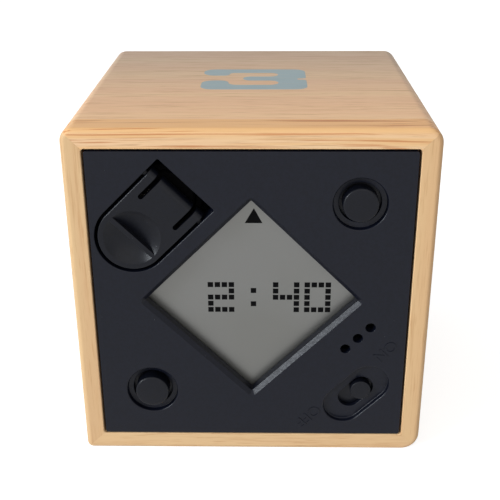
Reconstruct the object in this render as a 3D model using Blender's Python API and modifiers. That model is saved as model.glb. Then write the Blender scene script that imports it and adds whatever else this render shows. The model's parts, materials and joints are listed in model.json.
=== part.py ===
"""Cube timer: a wooden box with a black display module set into its front.

The box stands on the plane z = 0 and its front looks along -y. The z axis runs
halfway between the button caps, which stand out of the front, and the back.
Everything behind the front plate hangs from it.
"""

import math

import bmesh
import bpy
from mathutils import Vector

MM = 0.001
DIAGONAL = math.sqrt(0.5)

# Clearance between neighbouring solids
GAP = 0.3 * MM

# Wooden box: four mitred boards in a ring and a back board inside them
CUBE = 70.0 * MM
BOARD = 3.9 * MM
EDGE_RADIUS = 1.6 * MM
CORNER_RADIUS = 2.2 * MM
BLOCK_SIDE = 4.5 * MM
BLOCK_LENGTH = 9.0 * MM

# Front plate, let into the box
PLATE_RECESS = 0.1 * MM
PLATE_SLIT = 0.4 * MM
PLATE_THICK = 2.0 * MM
PLATE_CORNER = 0.5 * MM
PLATE_EDGE = 0.15 * MM
BOSS_RADIUS = 2.0 * MM
SCREW_RADIUS = 0.8 * MM
SCREW_HEAD_RADIUS = 1.7 * MM
SCREW_HEAD_HEIGHT = 1.3 * MM
SCREW_BITE = 3.6 * MM

# Battery cells
CELL_RADIUS = 5.25 * MM
CELL_LENGTH = 44.5 * MM
CELL_SPACE = 0.3 * MM
NUB_RADIUS = 1.9 * MM
NUB_HEIGHT = 1.0 * MM
CASE_CLEARANCE = 0.35 * MM
CASE_WALL = 1.0 * MM
CASE_FLOOR = 1.2 * MM
CASE_FLANGE = 1.2 * MM
EAR_REACH = 5.0 * MM

# Battery door, hinged at its straight end
DOOR_SETBACK = 17.79 * MM
DOOR_EDGE_MARGIN = 0.85 * MM
DOOR_LENGTH = 22.2 * MM
DOOR_HALF_WIDTH = 6.6 * MM
DOOR_GAP = 0.55 * MM
DOOR_THICK = 1.5 * MM
DOOR_ROUNDING = 0.2 * MM
COLLAR_WALL = 0.8 * MM
COLLAR_DEPTH = 2.3 * MM
BARREL_RADIUS = 1.8 * MM
BARREL_CLEAR = 2.27 * MM
PIN_RADIUS = 0.7 * MM
PIN_REACH = 0.5 * MM
TONGUE_HALF_WIDTH = 3.9 * MM
TONGUE_SLOT = 1.0 * MM
TONGUE_LENGTH = 5.9 * MM
DIMPLE_RADIUS = 5.5 * MM
DIMPLE_DEPTH = 1.8 * MM
DIMPLE_WALL = 0.9 * MM
FIN_THICK = 1.0 * MM
RIB_THICK = 1.0 * MM
RIB_DEPTH = 2.3 * MM
RIB_INSET = 0.9 * MM
SPRING_LEAF = 0.3 * MM

# Display, seen through a square window that stands on its corner
GLASS_OVERLAP = 1.43 * MM
WINDOW_CHAMFER = 0.8 * MM
WINDOW_COLLAR = 0.8 * MM
POLARISER_THICK = 0.3 * MM
GLASS_THICK = 2.0 * MM
REFLECTOR_THICK = 0.3 * MM
STRIP_HEIGHT = 3.1 * MM
STRIP_THICK = 1.6 * MM
FRAME_WALL = 0.85 * MM

# Two push buttons on the horizontal diagonal of the module
BUTTON_SETBACK = 14.55 * MM
WELL_RADIUS = 5.1 * MM
WELL_DEPTH = 1.2 * MM
WELL_ROUNDING = 0.35 * MM
CAP_RADIUS = 3.4 * MM
CAP_CLEARANCE = 0.6 * MM
CAP_ROUNDING = 0.5 * MM
CAP_STAND = 0.75 * MM
CAP_FLANGE = 0.8 * MM
CAP_FLANGE_RADIUS = 4.6 * MM
STEM_RADIUS = 2.6 * MM
STEM_LENGTH = 1.2 * MM
BUTTON_TRAVEL = 0.8 * MM
PLUNGER_RADIUS = 3.0 * MM
PLUNGER_STOP = 0.4 * MM
PILL_RADIUS = 1.5 * MM
PILL_THICK = 0.5 * MM
DOME_WALL = 0.6 * MM
DOME_HEIGHT = 3.0 * MM
DOME_SPREAD = 1.6 * MM

# Slide switch below the display
SWITCH_SETBACK = 13.32 * MM
SWITCH_TRAVEL = 2.6 * MM
SWITCH_RECESS_LENGTH = 15.2 * MM
SWITCH_RECESS_WIDTH = 8.15 * MM
SWITCH_RECESS_DEPTH = 1.1 * MM
SWITCH_ROUNDING = 0.35 * MM
KNOB_RADIUS = 2.1 * MM
KNOB_CLEARANCE = 0.2 * MM
SLOT_END_CLEARANCE = 0.6 * MM
KNOB_ROUNDING = 0.25 * MM
KNOB_SHORTFALL = 0.05 * MM
KNOB_FLANGE = 0.7 * MM
KNOB_FLANGE_COVER = 0.6 * MM
KNOB_SOCKET_DEPTH = 1.7 * MM
LEVER_HALF = 0.75 * MM
LEVER_PLUNGE = 1.9 * MM
SWITCH_HOUSING_HALF_LENGTH = 4.5 * MM
SWITCH_HOUSING_HALF_WIDTH = 2.2 * MM
SWITCH_HOUSING_HEIGHT = 2.9 * MM

# Sound holes and the buzzer behind them
HOLE_RADIUS = 1.0 * MM
HOLE_PITCH = 3.4 * MM
HOLE_COUNT = 3
HOLE_ROW_SHIFT = 9.2 * MM
HOLE_ROW_STEP = 5.1 * MM
BUZZER_RADIUS = 4.2 * MM
BUZZER_HEIGHT = 5.0 * MM
BUZZER_MOUTH = 1.2 * MM

# Circuit board and what it carries on its rear side
BOARD_THICK = 1.6 * MM
BOARD_MARGIN = 1.25 * MM
CHIP_RADIUS = 5.0 * MM
CHIP_HEIGHT = 1.4 * MM
CRYSTAL_RADIUS = 1.0 * MM
CRYSTAL_LENGTH = 6.0 * MM
CAPACITOR_RADIUS = 2.5 * MM
CAPACITOR_HEIGHT = 7.0 * MM
RESISTOR_SIZE = (1.6 * MM, 0.8 * MM, 0.5 * MM)
RESISTOR_COUNT = 3
RESISTOR_PITCH = 2.6 * MM

# Tilt switches: a ball in a can, one along each diagonal
TILT_RADIUS = 2.5 * MM
TILT_LENGTH = 9.0 * MM
TILT_WALL = 0.4 * MM
TILT_PLUG = 1.6 * MM
BALL_RADIUS = 1.7 * MM

# Battery spring and wires
SPRING_RADIUS = 3.0 * MM
SPRING_WIRE = 0.3 * MM
SPRING_TURNS = 4
SPRING_HEIGHT = 3.6 * MM
SPRING_POINTS = 10
WIRE_RADIUS = 0.6 * MM
TAB_THICK = 0.4 * MM
TAB_SIDE = 3.0 * MM

ROUND_STEPS = 32

# Levels along the axis that points out of the face; the box's front is at 0
PLATE_SIZE = CUBE - 2 * (BOARD + PLATE_SLIT)
PLATE_FRONT = -PLATE_RECESS
PLATE_BACK = PLATE_FRONT - PLATE_THICK
PLATE_MIDDLE = PLATE_FRONT - PLATE_THICK / 2
UNDER_PLATE = PLATE_BACK - GAP
DISPLAY_FRONT = UNDER_PLATE - WINDOW_COLLAR
GLASS_FRONT = DISPLAY_FRONT - POLARISER_THICK - GAP
GLASS_BACK = GLASS_FRONT - GLASS_THICK
STRIP_FRONT = GLASS_BACK - GAP
BOARD_FRONT = STRIP_FRONT - STRIP_HEIGHT - GAP
BOARD_BACK = BOARD_FRONT - BOARD_THICK
COLLAR_END = PLATE_BACK - COLLAR_DEPTH
CASE_TOP = COLLAR_END - GAP
BARREL_LEVEL = PLATE_FRONT - BARREL_RADIUS
DOOR_BACK = PLATE_FRONT - DOOR_THICK
RIB_END = DOOR_BACK - RIB_DEPTH
LEAF_TOP = RIB_END - GAP
CELL_TOP = LEAF_TOP - SPRING_LEAF - 1.3 * GAP
CELL_BOTTOM = CELL_TOP - CELL_LENGTH
CASE_INSIDE = CELL_BOTTOM - GAP - SPRING_HEIGHT - GAP
CASE_BOTTOM = CASE_INSIDE - CASE_FLOOR
CAP_TOP = PLATE_FRONT + CAP_STAND
BOX_MIDDLE = CAP_TOP / 2
KNOB_TOP = PLATE_FRONT - KNOB_SHORTFALL
CAP_END = UNDER_PLATE - CAP_FLANGE - STEM_LENGTH
PLUNGER_END = BOARD_FRONT + PLUNGER_STOP + BUTTON_TRAVEL

# Places in the turned frame, whose x axis runs up to the right across the face
FACE_REACH = PLATE_SIZE * DIAGONAL
DOOR_AXIS = FACE_REACH - DOOR_SETBACK
OPENING_HALF_WIDTH = DOOR_HALF_WIDTH + DOOR_GAP
ARC_X = DOOR_AXIS - (PLATE_SIZE / 2 - DOOR_EDGE_MARGIN - OPENING_HALF_WIDTH) / DIAGONAL
OPENING_FAR = ARC_X - OPENING_HALF_WIDTH
OPENING_NEAR = OPENING_FAR + DOOR_LENGTH
BARREL_X = OPENING_NEAR - BARREL_CLEAR - BARREL_RADIUS
CELL_MIDDLE = (OPENING_FAR + OPENING_NEAR) / 2
CELL_STEP = CELL_RADIUS + CELL_SPACE / 2
CELL_PLACES = (CELL_MIDDLE - CELL_STEP, CELL_MIDDLE + CELL_STEP)
CASE_INNER = CELL_RADIUS + CASE_CLEARANCE
CASE_OUTER = CASE_INNER + CASE_WALL
COLLAR_HALF_WIDTH = OPENING_HALF_WIDTH + COLLAR_WALL
FRAME_HALF = DOOR_AXIS - COLLAR_HALF_WIDTH - GAP
GLASS_HALF = FRAME_HALF - FRAME_WALL - GAP
WINDOW_HALF = GLASS_HALF - GLASS_OVERLAP
BUTTON_PLACE = FACE_REACH - BUTTON_SETBACK
SWITCH_PLACE = -(FACE_REACH - SWITCH_SETBACK)
KNOB_REST = SWITCH_TRAVEL / 2
HOLE_ROW = -(WINDOW_HALF + WINDOW_CHAMFER + HOLE_ROW_STEP)
BUZZER_PLACE = (HOLE_ROW_SHIFT, -(FRAME_HALF + GAP + BUZZER_RADIUS))
BOARD_REACH = FACE_REACH - BOARD_MARGIN / DIAGONAL
BLOCK_REACH = (CUBE / 2 - BOARD - GAP - BLOCK_SIDE) / DIAGONAL
BOARD_CLIP = BLOCK_REACH - GAP
BOARD_TOP = DOOR_AXIS - CASE_OUTER - 2 * GAP
SIDE_BOSS = FRAME_HALF + BOSS_RADIUS + 1.5 * MM
BOSS_PLACES = (
    (SIDE_BOSS, 0.7 * FRAME_HALF),
    (-SIDE_BOSS, 0.55 * FRAME_HALF),
    (SIDE_BOSS, -0.7 * FRAME_HALF),
    (-SIDE_BOSS, -0.7 * FRAME_HALF),
)
EAR_PLACES = (
    (CELL_PLACES[1] + CASE_OUTER + EAR_REACH - BOSS_RADIUS, DOOR_AXIS),
    (CELL_PLACES[0] - CASE_OUTER - 0.3 * BOSS_RADIUS, DOOR_AXIS - CASE_OUTER + 0.5 * BOSS_RADIUS),
)


def clear_scene():
    """Remove what the scene holds."""
    for obj in list(bpy.data.objects):
        bpy.data.objects.remove(obj, do_unlink=True)


def new_collection(name):
    """Make a collection under the scene."""
    collection = bpy.data.collections.new(name)
    bpy.context.scene.collection.children.link(collection)
    return collection


def new_material(name, colour, roughness, metallic=0.0):
    """Make a plain material from a colour, a roughness and a metallic value."""
    material = bpy.data.materials.new(name)
    material.use_nodes = True
    shader = material.node_tree.nodes["Principled BSDF"]
    shader.inputs["Base Color"].default_value = (*colour, 1.0)
    shader.inputs["Roughness"].default_value = roughness
    shader.inputs["Metallic"].default_value = metallic
    material.diffuse_color = (*colour, 1.0)
    return material


def new_frame(name, location, rotation, parent=None):
    """Make an empty that other objects are placed in."""
    empty = bpy.data.objects.new(name, None)
    parts.objects.link(empty)
    empty.parent = parent
    empty.location = location
    empty.rotation_euler = rotation
    return empty


def place(name, data, material, parent, location=(0, 0, 0), rotation=(0, 0, 0)):
    """Put mesh or curve data into the scene as a piece, or as a cutter without a material."""
    obj = bpy.data.objects.new(name, data)
    obj.parent = parent
    obj.location = location
    obj.rotation_euler = rotation
    if material is None:
        cutters.objects.link(obj)
        obj.hide_render = True
        obj.display_type = "WIRE"
    else:
        parts.objects.link(obj)
        if not data.materials:
            data.materials.append(material)
    return obj


def finish_mesh(bm, name, smooth=False):
    """Turn a bmesh into mesh data, with its faces pointing out."""
    bmesh.ops.recalc_face_normals(bm, faces=bm.faces)
    mesh = bpy.data.meshes.new(name)
    bm.to_mesh(mesh)
    bm.free()
    if smooth:
        mesh.shade_smooth()
        mesh.set_sharp_from_angle(angle=math.radians(35))
    return mesh


def box_mesh(name, low, high):
    """Box between two corners."""
    bm = bmesh.new()
    bmesh.ops.create_cube(bm, size=1.0)
    low, high = Vector(low), Vector(high)
    bmesh.ops.scale(bm, vec=high - low, verts=bm.verts)
    bmesh.ops.translate(bm, vec=(low + high) / 2, verts=bm.verts)
    return finish_mesh(bm, name)


def rod_mesh(name, radius, low, high, steps=ROUND_STEPS):
    """Cylinder along z between two levels."""
    bm = bmesh.new()
    bmesh.ops.create_cone(
        bm, cap_ends=True, segments=steps, radius1=radius, radius2=radius, depth=high - low
    )
    bmesh.ops.translate(bm, vec=(0, 0, (low + high) / 2), verts=bm.verts)
    return finish_mesh(bm, name, smooth=True)


def rounded_outline(x_low, x_high, half_width, low_radius, high_radius, low_steps=4, high_steps=4):
    """Outline of a bar whose ends have their own corner radii, as a function of its growth."""

    def corner(centre_x, centre_y, radius, start, steps):
        for i in range(steps + 1):
            angle = math.radians(start + 90 * i / steps)
            yield centre_x + radius * math.cos(angle), centre_y + radius * math.sin(angle)

    def points(grow=0.0):
        right, left = x_high - high_radius, x_low + low_radius
        high_y, low_y = half_width - high_radius, half_width - low_radius
        ring = [
            *corner(right, high_y, high_radius + grow, 0, high_steps),
            *corner(left, low_y, low_radius + grow, 90, low_steps),
            *corner(left, -low_y, low_radius + grow, 180, low_steps),
            *corner(right, -high_y, high_radius + grow, 270, high_steps),
        ]
        return [p for i, p in enumerate(ring) if math.dist(p, ring[i - 1]) > 0.001 * MM]

    return points


def bar_outline(length, width, steps=8):
    """Outline with two round ends, centred on the origin."""
    return rounded_outline(-length / 2, length / 2, width / 2, width / 2, width / 2, steps, steps)


def square_outline(half, radius=0.3 * MM, steps=2):
    """Outline of a square with small round corners."""
    return rounded_outline(-half, half, half, radius, radius, steps, steps)


def prism_mesh(name, outline, levels, smooth=False):
    """Extrude an outline through levels of (height, growth), from the lowest up."""
    bm = bmesh.new()
    height, grow = levels[0]
    face = bm.faces.new([bm.verts.new((x, y, height)) for x, y in outline(grow)])
    for number, (height, grow) in enumerate(levels[1:]):
        raised = bmesh.ops.extrude_face_region(bm, geom=[face])["geom"]
        if number > 0:
            bmesh.ops.delete(bm, geom=[face], context="FACES_ONLY")
        face = next(item for item in raised if isinstance(item, bmesh.types.BMFace))
        for vert, (x, y) in zip(face.verts, outline(grow)):
            vert.co = (x, y, height)
    return finish_mesh(bm, name, smooth)


def rounded_top(low, high, radius, steps=3):
    """Levels of a straight side that ends in a rounded edge at the top."""
    levels = [(low, 0.0)]
    for i in range(steps + 1):
        angle = math.radians(90 * i / steps)
        levels.append((high - radius + radius * math.sin(angle), radius * math.cos(angle) - radius))
    return levels


def flared_top(low, high, radius, steps=3):
    """Levels of a cutter that rounds the rim of its hole, and ends above the surface."""
    levels = [(low, 0.0)]
    for i in range(steps + 1):
        angle = math.radians(90 * i / steps)
        levels.append((high - radius + radius * math.sin(angle), radius - radius * math.cos(angle)))
    levels.append((high + radius, radius))
    return levels


def turned(
    name, profile, material, parent, location=(0, 0, 0), rotation=(0, 0, 0), closed=False, steps=ROUND_STEPS
):
    """Turn a profile of (radius, height) about z, listed from the top down its outer side."""
    mesh = bpy.data.meshes.new(name)
    edges = [(i, i + 1) for i in range(len(profile) - 1)]
    if closed:
        edges.append((len(profile) - 1, 0))
    mesh.from_pydata([(radius, 0, height) for radius, height in profile], edges, [])
    obj = place(name, mesh, material, parent, location, rotation)
    screw = obj.modifiers.new("Turn", "SCREW")
    screw.steps = steps
    screw.render_steps = steps
    screw.use_merge_vertices = True
    screw.merge_threshold = 0.001 * MM
    return obj


def arc(centre_r, centre_z, radius, start, end, steps):
    """Points of an arc in a turned profile, with angles in degrees."""
    angles = [math.radians(start + (end - start) * i / steps) for i in range(steps + 1)]
    return [(centre_r + radius * math.cos(a), centre_z + radius * math.sin(a)) for a in angles]


def combine(obj, other, operation):
    """Add a Boolean that cuts, joins or intersects with another object."""
    boolean = obj.modifiers.new(f"{operation.title()} {other.name}", "BOOLEAN")
    boolean.operation = operation
    boolean.object = other
    boolean.solver = "EXACT"


def cut(obj, *others):
    """Cut objects out of a piece."""
    for other in others:
        combine(obj, other, "DIFFERENCE")


def join(obj, *others):
    """Join objects to a piece."""
    for other in others:
        combine(obj, other, "UNION")


def place_copies(name, mesh, spots, material, parent):
    """Place one object for each spot, all sharing a mesh."""
    for number, spot in enumerate(spots, start=1):
        place(f"{name}_{number}", mesh, material, parent, spot)


def tube(name, points, radius, material, parent):
    """Round wire through a list of points, with flat ends."""
    curve = bpy.data.curves.new(name, "CURVE")
    curve.dimensions = "3D"
    curve.bevel_depth = radius
    curve.bevel_resolution = 2
    curve.use_fill_caps = True
    spline = curve.splines.new("POLY")
    spline.points.add(len(points) - 1)
    for target, point in zip(spline.points, points):
        target.co = (*point, 1.0)
    return place(name, curve, material, parent)


def smooth_route(route, steps=6):
    """Points of a smooth curve through the points of a route."""
    points = [Vector(p) for p in route]
    padded = [2 * points[0] - points[1], *points, 2 * points[-1] - points[-2]]
    result = []
    for a, b, c, d in zip(padded, padded[1:], padded[2:], padded[3:]):
        for i in range(steps):
            t = i / steps
            result.append(
                0.5 * (2 * b + (c - a) * t + (2 * a - 5 * b + 4 * c - d) * t**2
                       + (3 * b - 3 * c + d - a) * t**3)
            )
    return [*result, points[-1]]


def build_box():
    """Four mitred boards, the back board between them and the glue blocks in the corners."""
    bm = bmesh.new()
    bmesh.ops.create_cube(bm, size=CUBE)
    weight = bm.edges.layers.float.new("bevel_weight_edge")
    for edge in bm.edges:
        runs_back = abs(edge.verts[0].co.y - edge.verts[1].co.y) > CUBE / 2
        edge[weight] = 1.0 if runs_back else EDGE_RADIUS / CORNER_RADIUS
    block = finish_mesh(bm, "wood_block")

    inside = CUBE / 2 - BOARD
    cavity = place(
        "cavity",
        box_mesh("cavity", (-inside, -inside, -CUBE - BOARD), (inside, inside, BOARD)),
        None,
        face,
    )
    half_joint = GAP * DIAGONAL
    corners = [(0, half_joint), (CUBE, CUBE + half_joint), (-CUBE, CUBE + half_joint)]
    wedge = prism_mesh("wedge", lambda grow: corners, [(-CUBE - BOARD, 0), (BOARD, 0)])
    for turn, name in enumerate(("top_board", "left_board", "bottom_board", "right_board")):
        board = place(name, block.copy(), wood, None, (0, BOX_MIDDLE, CUBE / 2))
        bevel = board.modifiers.new("Rounded edges", "BEVEL")
        bevel.limit_method = "WEIGHT"
        bevel.width = CORNER_RADIUS
        bevel.segments = 4
        cut(board, cavity)
        side = place(f"wedge_{name}", wedge, None, face, rotation=(0, 0, turn * math.pi / 2))
        combine(board, side, "INTERSECT")

    panel = inside - GAP
    place(
        "back_board",
        box_mesh("back_board", (-panel, -panel, -CUBE), (panel, panel, -CUBE + BOARD)),
        wood,
        face,
    )
    half = BLOCK_SIDE / 2
    block_mesh = box_mesh(
        "corner_block", (-half, -half, UNDER_PLATE - BLOCK_LENGTH), (half, half, UNDER_PLATE)
    )
    reach = inside - GAP - half
    spots = [(sx * reach, sy * reach, 0) for sx in (-1, 1) for sy in (-1, 1)]
    place_copies("corner_block", block_mesh, spots, wood, face)


def build_plate():
    """Front plate with its window, wells, slot, sound holes, door opening and bosses."""
    outline = square_outline(PLATE_SIZE / 2, PLATE_CORNER, 3)
    plate = place(
        "front_plate",
        prism_mesh("front_plate", outline, [
            (PLATE_BACK, 0), (PLATE_FRONT - PLATE_EDGE, 0), (PLATE_FRONT, -PLATE_EDGE),
        ]),
        black_plastic,
        face,
    )
    opening = rounded_outline(
        OPENING_FAR, OPENING_NEAR, OPENING_HALF_WIDTH, OPENING_HALF_WIDTH, GAP, 12, 2
    )
    collar = place(
        "collar",
        prism_mesh("collar", lambda grow: opening(COLLAR_WALL), [(COLLAR_END, 0), (PLATE_MIDDLE, 0)]),
        None,
        diagonal,
        (0, DOOR_AXIS, 0),
    )
    surround = place(
        "window_collar",
        prism_mesh("window_collar", square_outline(GLASS_HALF), [(DISPLAY_FRONT + GAP, 0), (PLATE_MIDDLE, 0)]),
        None,
        diagonal,
    )
    join(plate, collar, surround)
    for number, (x, y) in enumerate(BOSS_PLACES):
        boss = rod_mesh("boss", BOSS_RADIUS, BOARD_FRONT + GAP, PLATE_MIDDLE, 20)
        join(plate, place(f"board_boss_{number}", boss, None, diagonal, (x, y, 0)))
    for number, (x, y) in enumerate(EAR_PLACES):
        boss = rod_mesh("boss", BOSS_RADIUS, COLLAR_END, PLATE_MIDDLE, 20)
        join(plate, place(f"case_boss_{number}", boss, None, diagonal, (x, y, 0)))

    door_hole = place(
        "door_hole",
        prism_mesh("door_hole", opening, [(COLLAR_END - GAP, 0), (GAP, 0)]),
        None,
        diagonal,
        (0, DOOR_AXIS, 0),
    )
    pin_end = OPENING_HALF_WIDTH + COLLAR_WALL + GAP
    pin_holes = place(
        "pin_holes",
        rod_mesh("pin_holes", PIN_RADIUS + GAP, -pin_end, pin_end, 20),
        None,
        diagonal,
        (BARREL_X, DOOR_AXIS, BARREL_LEVEL),
        (math.pi / 2, 0, 0),
    )
    window = place(
        "window",
        prism_mesh("window", square_outline(WINDOW_HALF), [
            (DISPLAY_FRONT, 0),
            (PLATE_FRONT - WINDOW_CHAMFER, 0),
            (GAP, WINDOW_CHAMFER + PLATE_RECESS + GAP),
        ]),
        None,
        diagonal,
    )
    cut(plate, door_hole, pin_holes, window)

    floor = PLATE_FRONT - WELL_DEPTH
    hole = CAP_RADIUS + CAP_CLEARANCE
    rim = [(r, z) for r, z in arc(WELL_RADIUS + WELL_ROUNDING, PLATE_FRONT - WELL_ROUNDING,
                                  WELL_ROUNDING, 90, 180, 4)]
    well = [(0, GAP), (WELL_RADIUS + WELL_ROUNDING, GAP), *rim, (WELL_RADIUS, floor), (hole, floor),
            (hole, PLATE_BACK - GAP), (0, PLATE_BACK - GAP)]
    for number, side in enumerate((-1, 1)):
        spot = (side * BUTTON_PLACE, 0, 0)
        cut(plate, turned(f"button_well_{number}", well, None, diagonal, spot))

    recess = prism_mesh(
        "switch_recess",
        bar_outline(SWITCH_RECESS_LENGTH, SWITCH_RECESS_WIDTH, 10),
        flared_top(PLATE_FRONT - SWITCH_RECESS_DEPTH, PLATE_FRONT, SWITCH_ROUNDING),
    )
    slot_width = 2 * (KNOB_RADIUS + KNOB_CLEARANCE)
    slot_length = SWITCH_TRAVEL + slot_width + 2 * SLOT_END_CLEARANCE - 2 * KNOB_CLEARANCE
    slot = prism_mesh("switch_slot", bar_outline(slot_length, slot_width), [
        (PLATE_BACK - GAP, 0), (PLATE_MIDDLE, 0),
    ])
    spot = (0, SWITCH_PLACE, 0)
    cut(
        plate,
        place("switch_recess", recess, None, diagonal, spot),
        place("switch_slot", slot, None, diagonal, spot),
    )
    for number in range(HOLE_COUNT):
        x = HOLE_ROW_SHIFT + (number - (HOLE_COUNT - 1) / 2) * HOLE_PITCH
        hole = rod_mesh("sound_hole", HOLE_RADIUS, PLATE_BACK - GAP, GAP, 20)
        cut(plate, place(f"sound_hole_{number}", hole, None, diagonal, (x, HOLE_ROW, 0)))
    pilot = SCREW_RADIUS + GAP
    for number, (x, y) in enumerate(BOSS_PLACES):
        hole = rod_mesh("pilot", pilot, BOARD_FRONT - GAP, BOARD_FRONT + SCREW_BITE + 2 * GAP, 16)
        cut(plate, place(f"board_pilot_{number}", hole, None, diagonal, (x, y, 0)))
    for number, (x, y) in enumerate(EAR_PLACES):
        hole = rod_mesh("pilot", pilot, COLLAR_END - GAP, PLATE_BACK, 16)
        cut(plate, place(f"case_pilot_{number}", hole, None, diagonal, (x, y, 0)))
    return plate


def build_door():
    """Battery door with its hinge barrel, tongue slots, thumb dimple and contact leaf."""
    hinge = new_frame("door_hinge", (BARREL_X, DOOR_AXIS, BARREL_LEVEL), (0, 0, 0), diagonal)
    surface = BARREL_RADIUS
    underside = surface - DOOR_THICK
    arc_x = ARC_X - BARREL_X
    far = arc_x - DOOR_HALF_WIDTH
    across = (math.pi / 2, 0, 0)
    above = surface + BARREL_RADIUS
    knuckle = arc(0, 0, BARREL_RADIUS, 86, -171, 24)
    profile = [(far - GAP, underside), (knuckle[-1][0], underside), *reversed(knuckle),
               (knuckle[0][0], above), (far - GAP, above)]
    span = DOOR_HALF_WIDTH + GAP
    door = place(
        "battery_door",
        prism_mesh("battery_door", lambda grow: profile, [(-span, 0), (span, 0)], smooth=True),
        black_plastic,
        hinge,
        rotation=across,
    )
    panel_outline = rounded_outline(
        far, BARREL_RADIUS + GAP, DOOR_HALF_WIDTH, DOOR_HALF_WIDTH, GAP, 12, 2
    )
    panel = prism_mesh("door_outline", panel_outline, rounded_top(-above, surface, DOOR_ROUNDING, 2))
    combine(door, place("door_outline", panel, None, hinge), "INTERSECT")
    pin_end = OPENING_HALF_WIDTH + PIN_REACH
    pin = rod_mesh("pin", PIN_RADIUS, -pin_end, pin_end, 20)
    cup_rim = DIMPLE_RADIUS + DIMPLE_WALL / 2
    sphere = (DIMPLE_RADIUS**2 + DIMPLE_DEPTH**2) / (2 * DIMPLE_DEPTH)
    centre = surface - DIMPLE_DEPTH + sphere
    half_angle = math.degrees(math.asin(DIMPLE_RADIUS / sphere))
    outer = sphere + DIMPLE_WALL
    cup_angle = math.degrees(math.acos((centre - underside - GAP) / outer))
    cup_curve = arc(0, centre, outer, cup_angle - 90, -90, 6)
    cup = [(0, underside + 2 * GAP), (cup_curve[0][0], underside + 2 * GAP), *cup_curve]
    dimple_curve = arc(0, centre, sphere, half_angle - 90, -90, 8)
    dimple = [(0, surface + GAP), (DIMPLE_RADIUS, surface + GAP), *dimple_curve]
    spot = (arc_x, 0, 0)
    join(
        door,
        place("pin", pin, None, hinge, rotation=across),
        turned("dimple_cup", cup, None, hinge, spot),
    )
    rib_y = DOOR_HALF_WIDTH - RIB_INSET - RIB_THICK / 2
    rib_end = -BARREL_RADIUS - GAP
    for side in (-1, 1):
        rib = box_mesh(
            "rib",
            (arc_x - cup_rim / 2, side * rib_y - RIB_THICK / 2, underside - RIB_DEPTH),
            (rib_end, side * rib_y + RIB_THICK / 2, underside + GAP),
        )
        join(door, place(f"rib_{side}", rib, None, hinge))
    dimple_cutter = turned("dimple", dimple, None, hinge, spot)
    fin = box_mesh(
        "fin", (-FIN_THICK / 2, -cup_rim, -DIMPLE_RADIUS), (FIN_THICK / 2, cup_rim, DIMPLE_RADIUS)
    )
    cut(dimple_cutter, place("fin", fin, None, hinge, spot))
    cut(door, dimple_cutter)
    slot_outline = bar_outline(TONGUE_LENGTH + 2 * BARREL_RADIUS, TONGUE_SLOT, 4)
    slot_x = BARREL_RADIUS - TONGUE_LENGTH / 2 + BARREL_RADIUS
    for side in (-1, 1):
        slot = prism_mesh("tongue_slot", slot_outline, [
            (-BARREL_RADIUS - GAP, 0), (BARREL_RADIUS + GAP, 0),
        ])
        slot_y = side * (TONGUE_HALF_WIDTH + TONGUE_SLOT / 2)
        cut(door, place(f"tongue_slot_{side}", slot, None, hinge, (slot_x, slot_y, 0)))

    leaf_top = LEAF_TOP - BARREL_LEVEL
    start = CELL_PLACES[0] - BARREL_X - NUB_RADIUS
    waist = BARREL_RADIUS - TONGUE_LENGTH - GAP
    end = CELL_PLACES[1] - BARREL_X + NUB_RADIUS - GAP
    narrow = TONGUE_HALF_WIDTH - GAP
    leaf_outline = [(start, -rib_y), (waist, -rib_y), (waist, -narrow), (end, -narrow), (end, narrow),
                    (waist, narrow), (waist, rib_y), (start, rib_y)]
    leaf = prism_mesh(
        "door_contact", lambda grow: leaf_outline, [(leaf_top - SPRING_LEAF, 0), (leaf_top, 0)]
    )
    place("door_contact", leaf, spring_steel, hinge)


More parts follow.
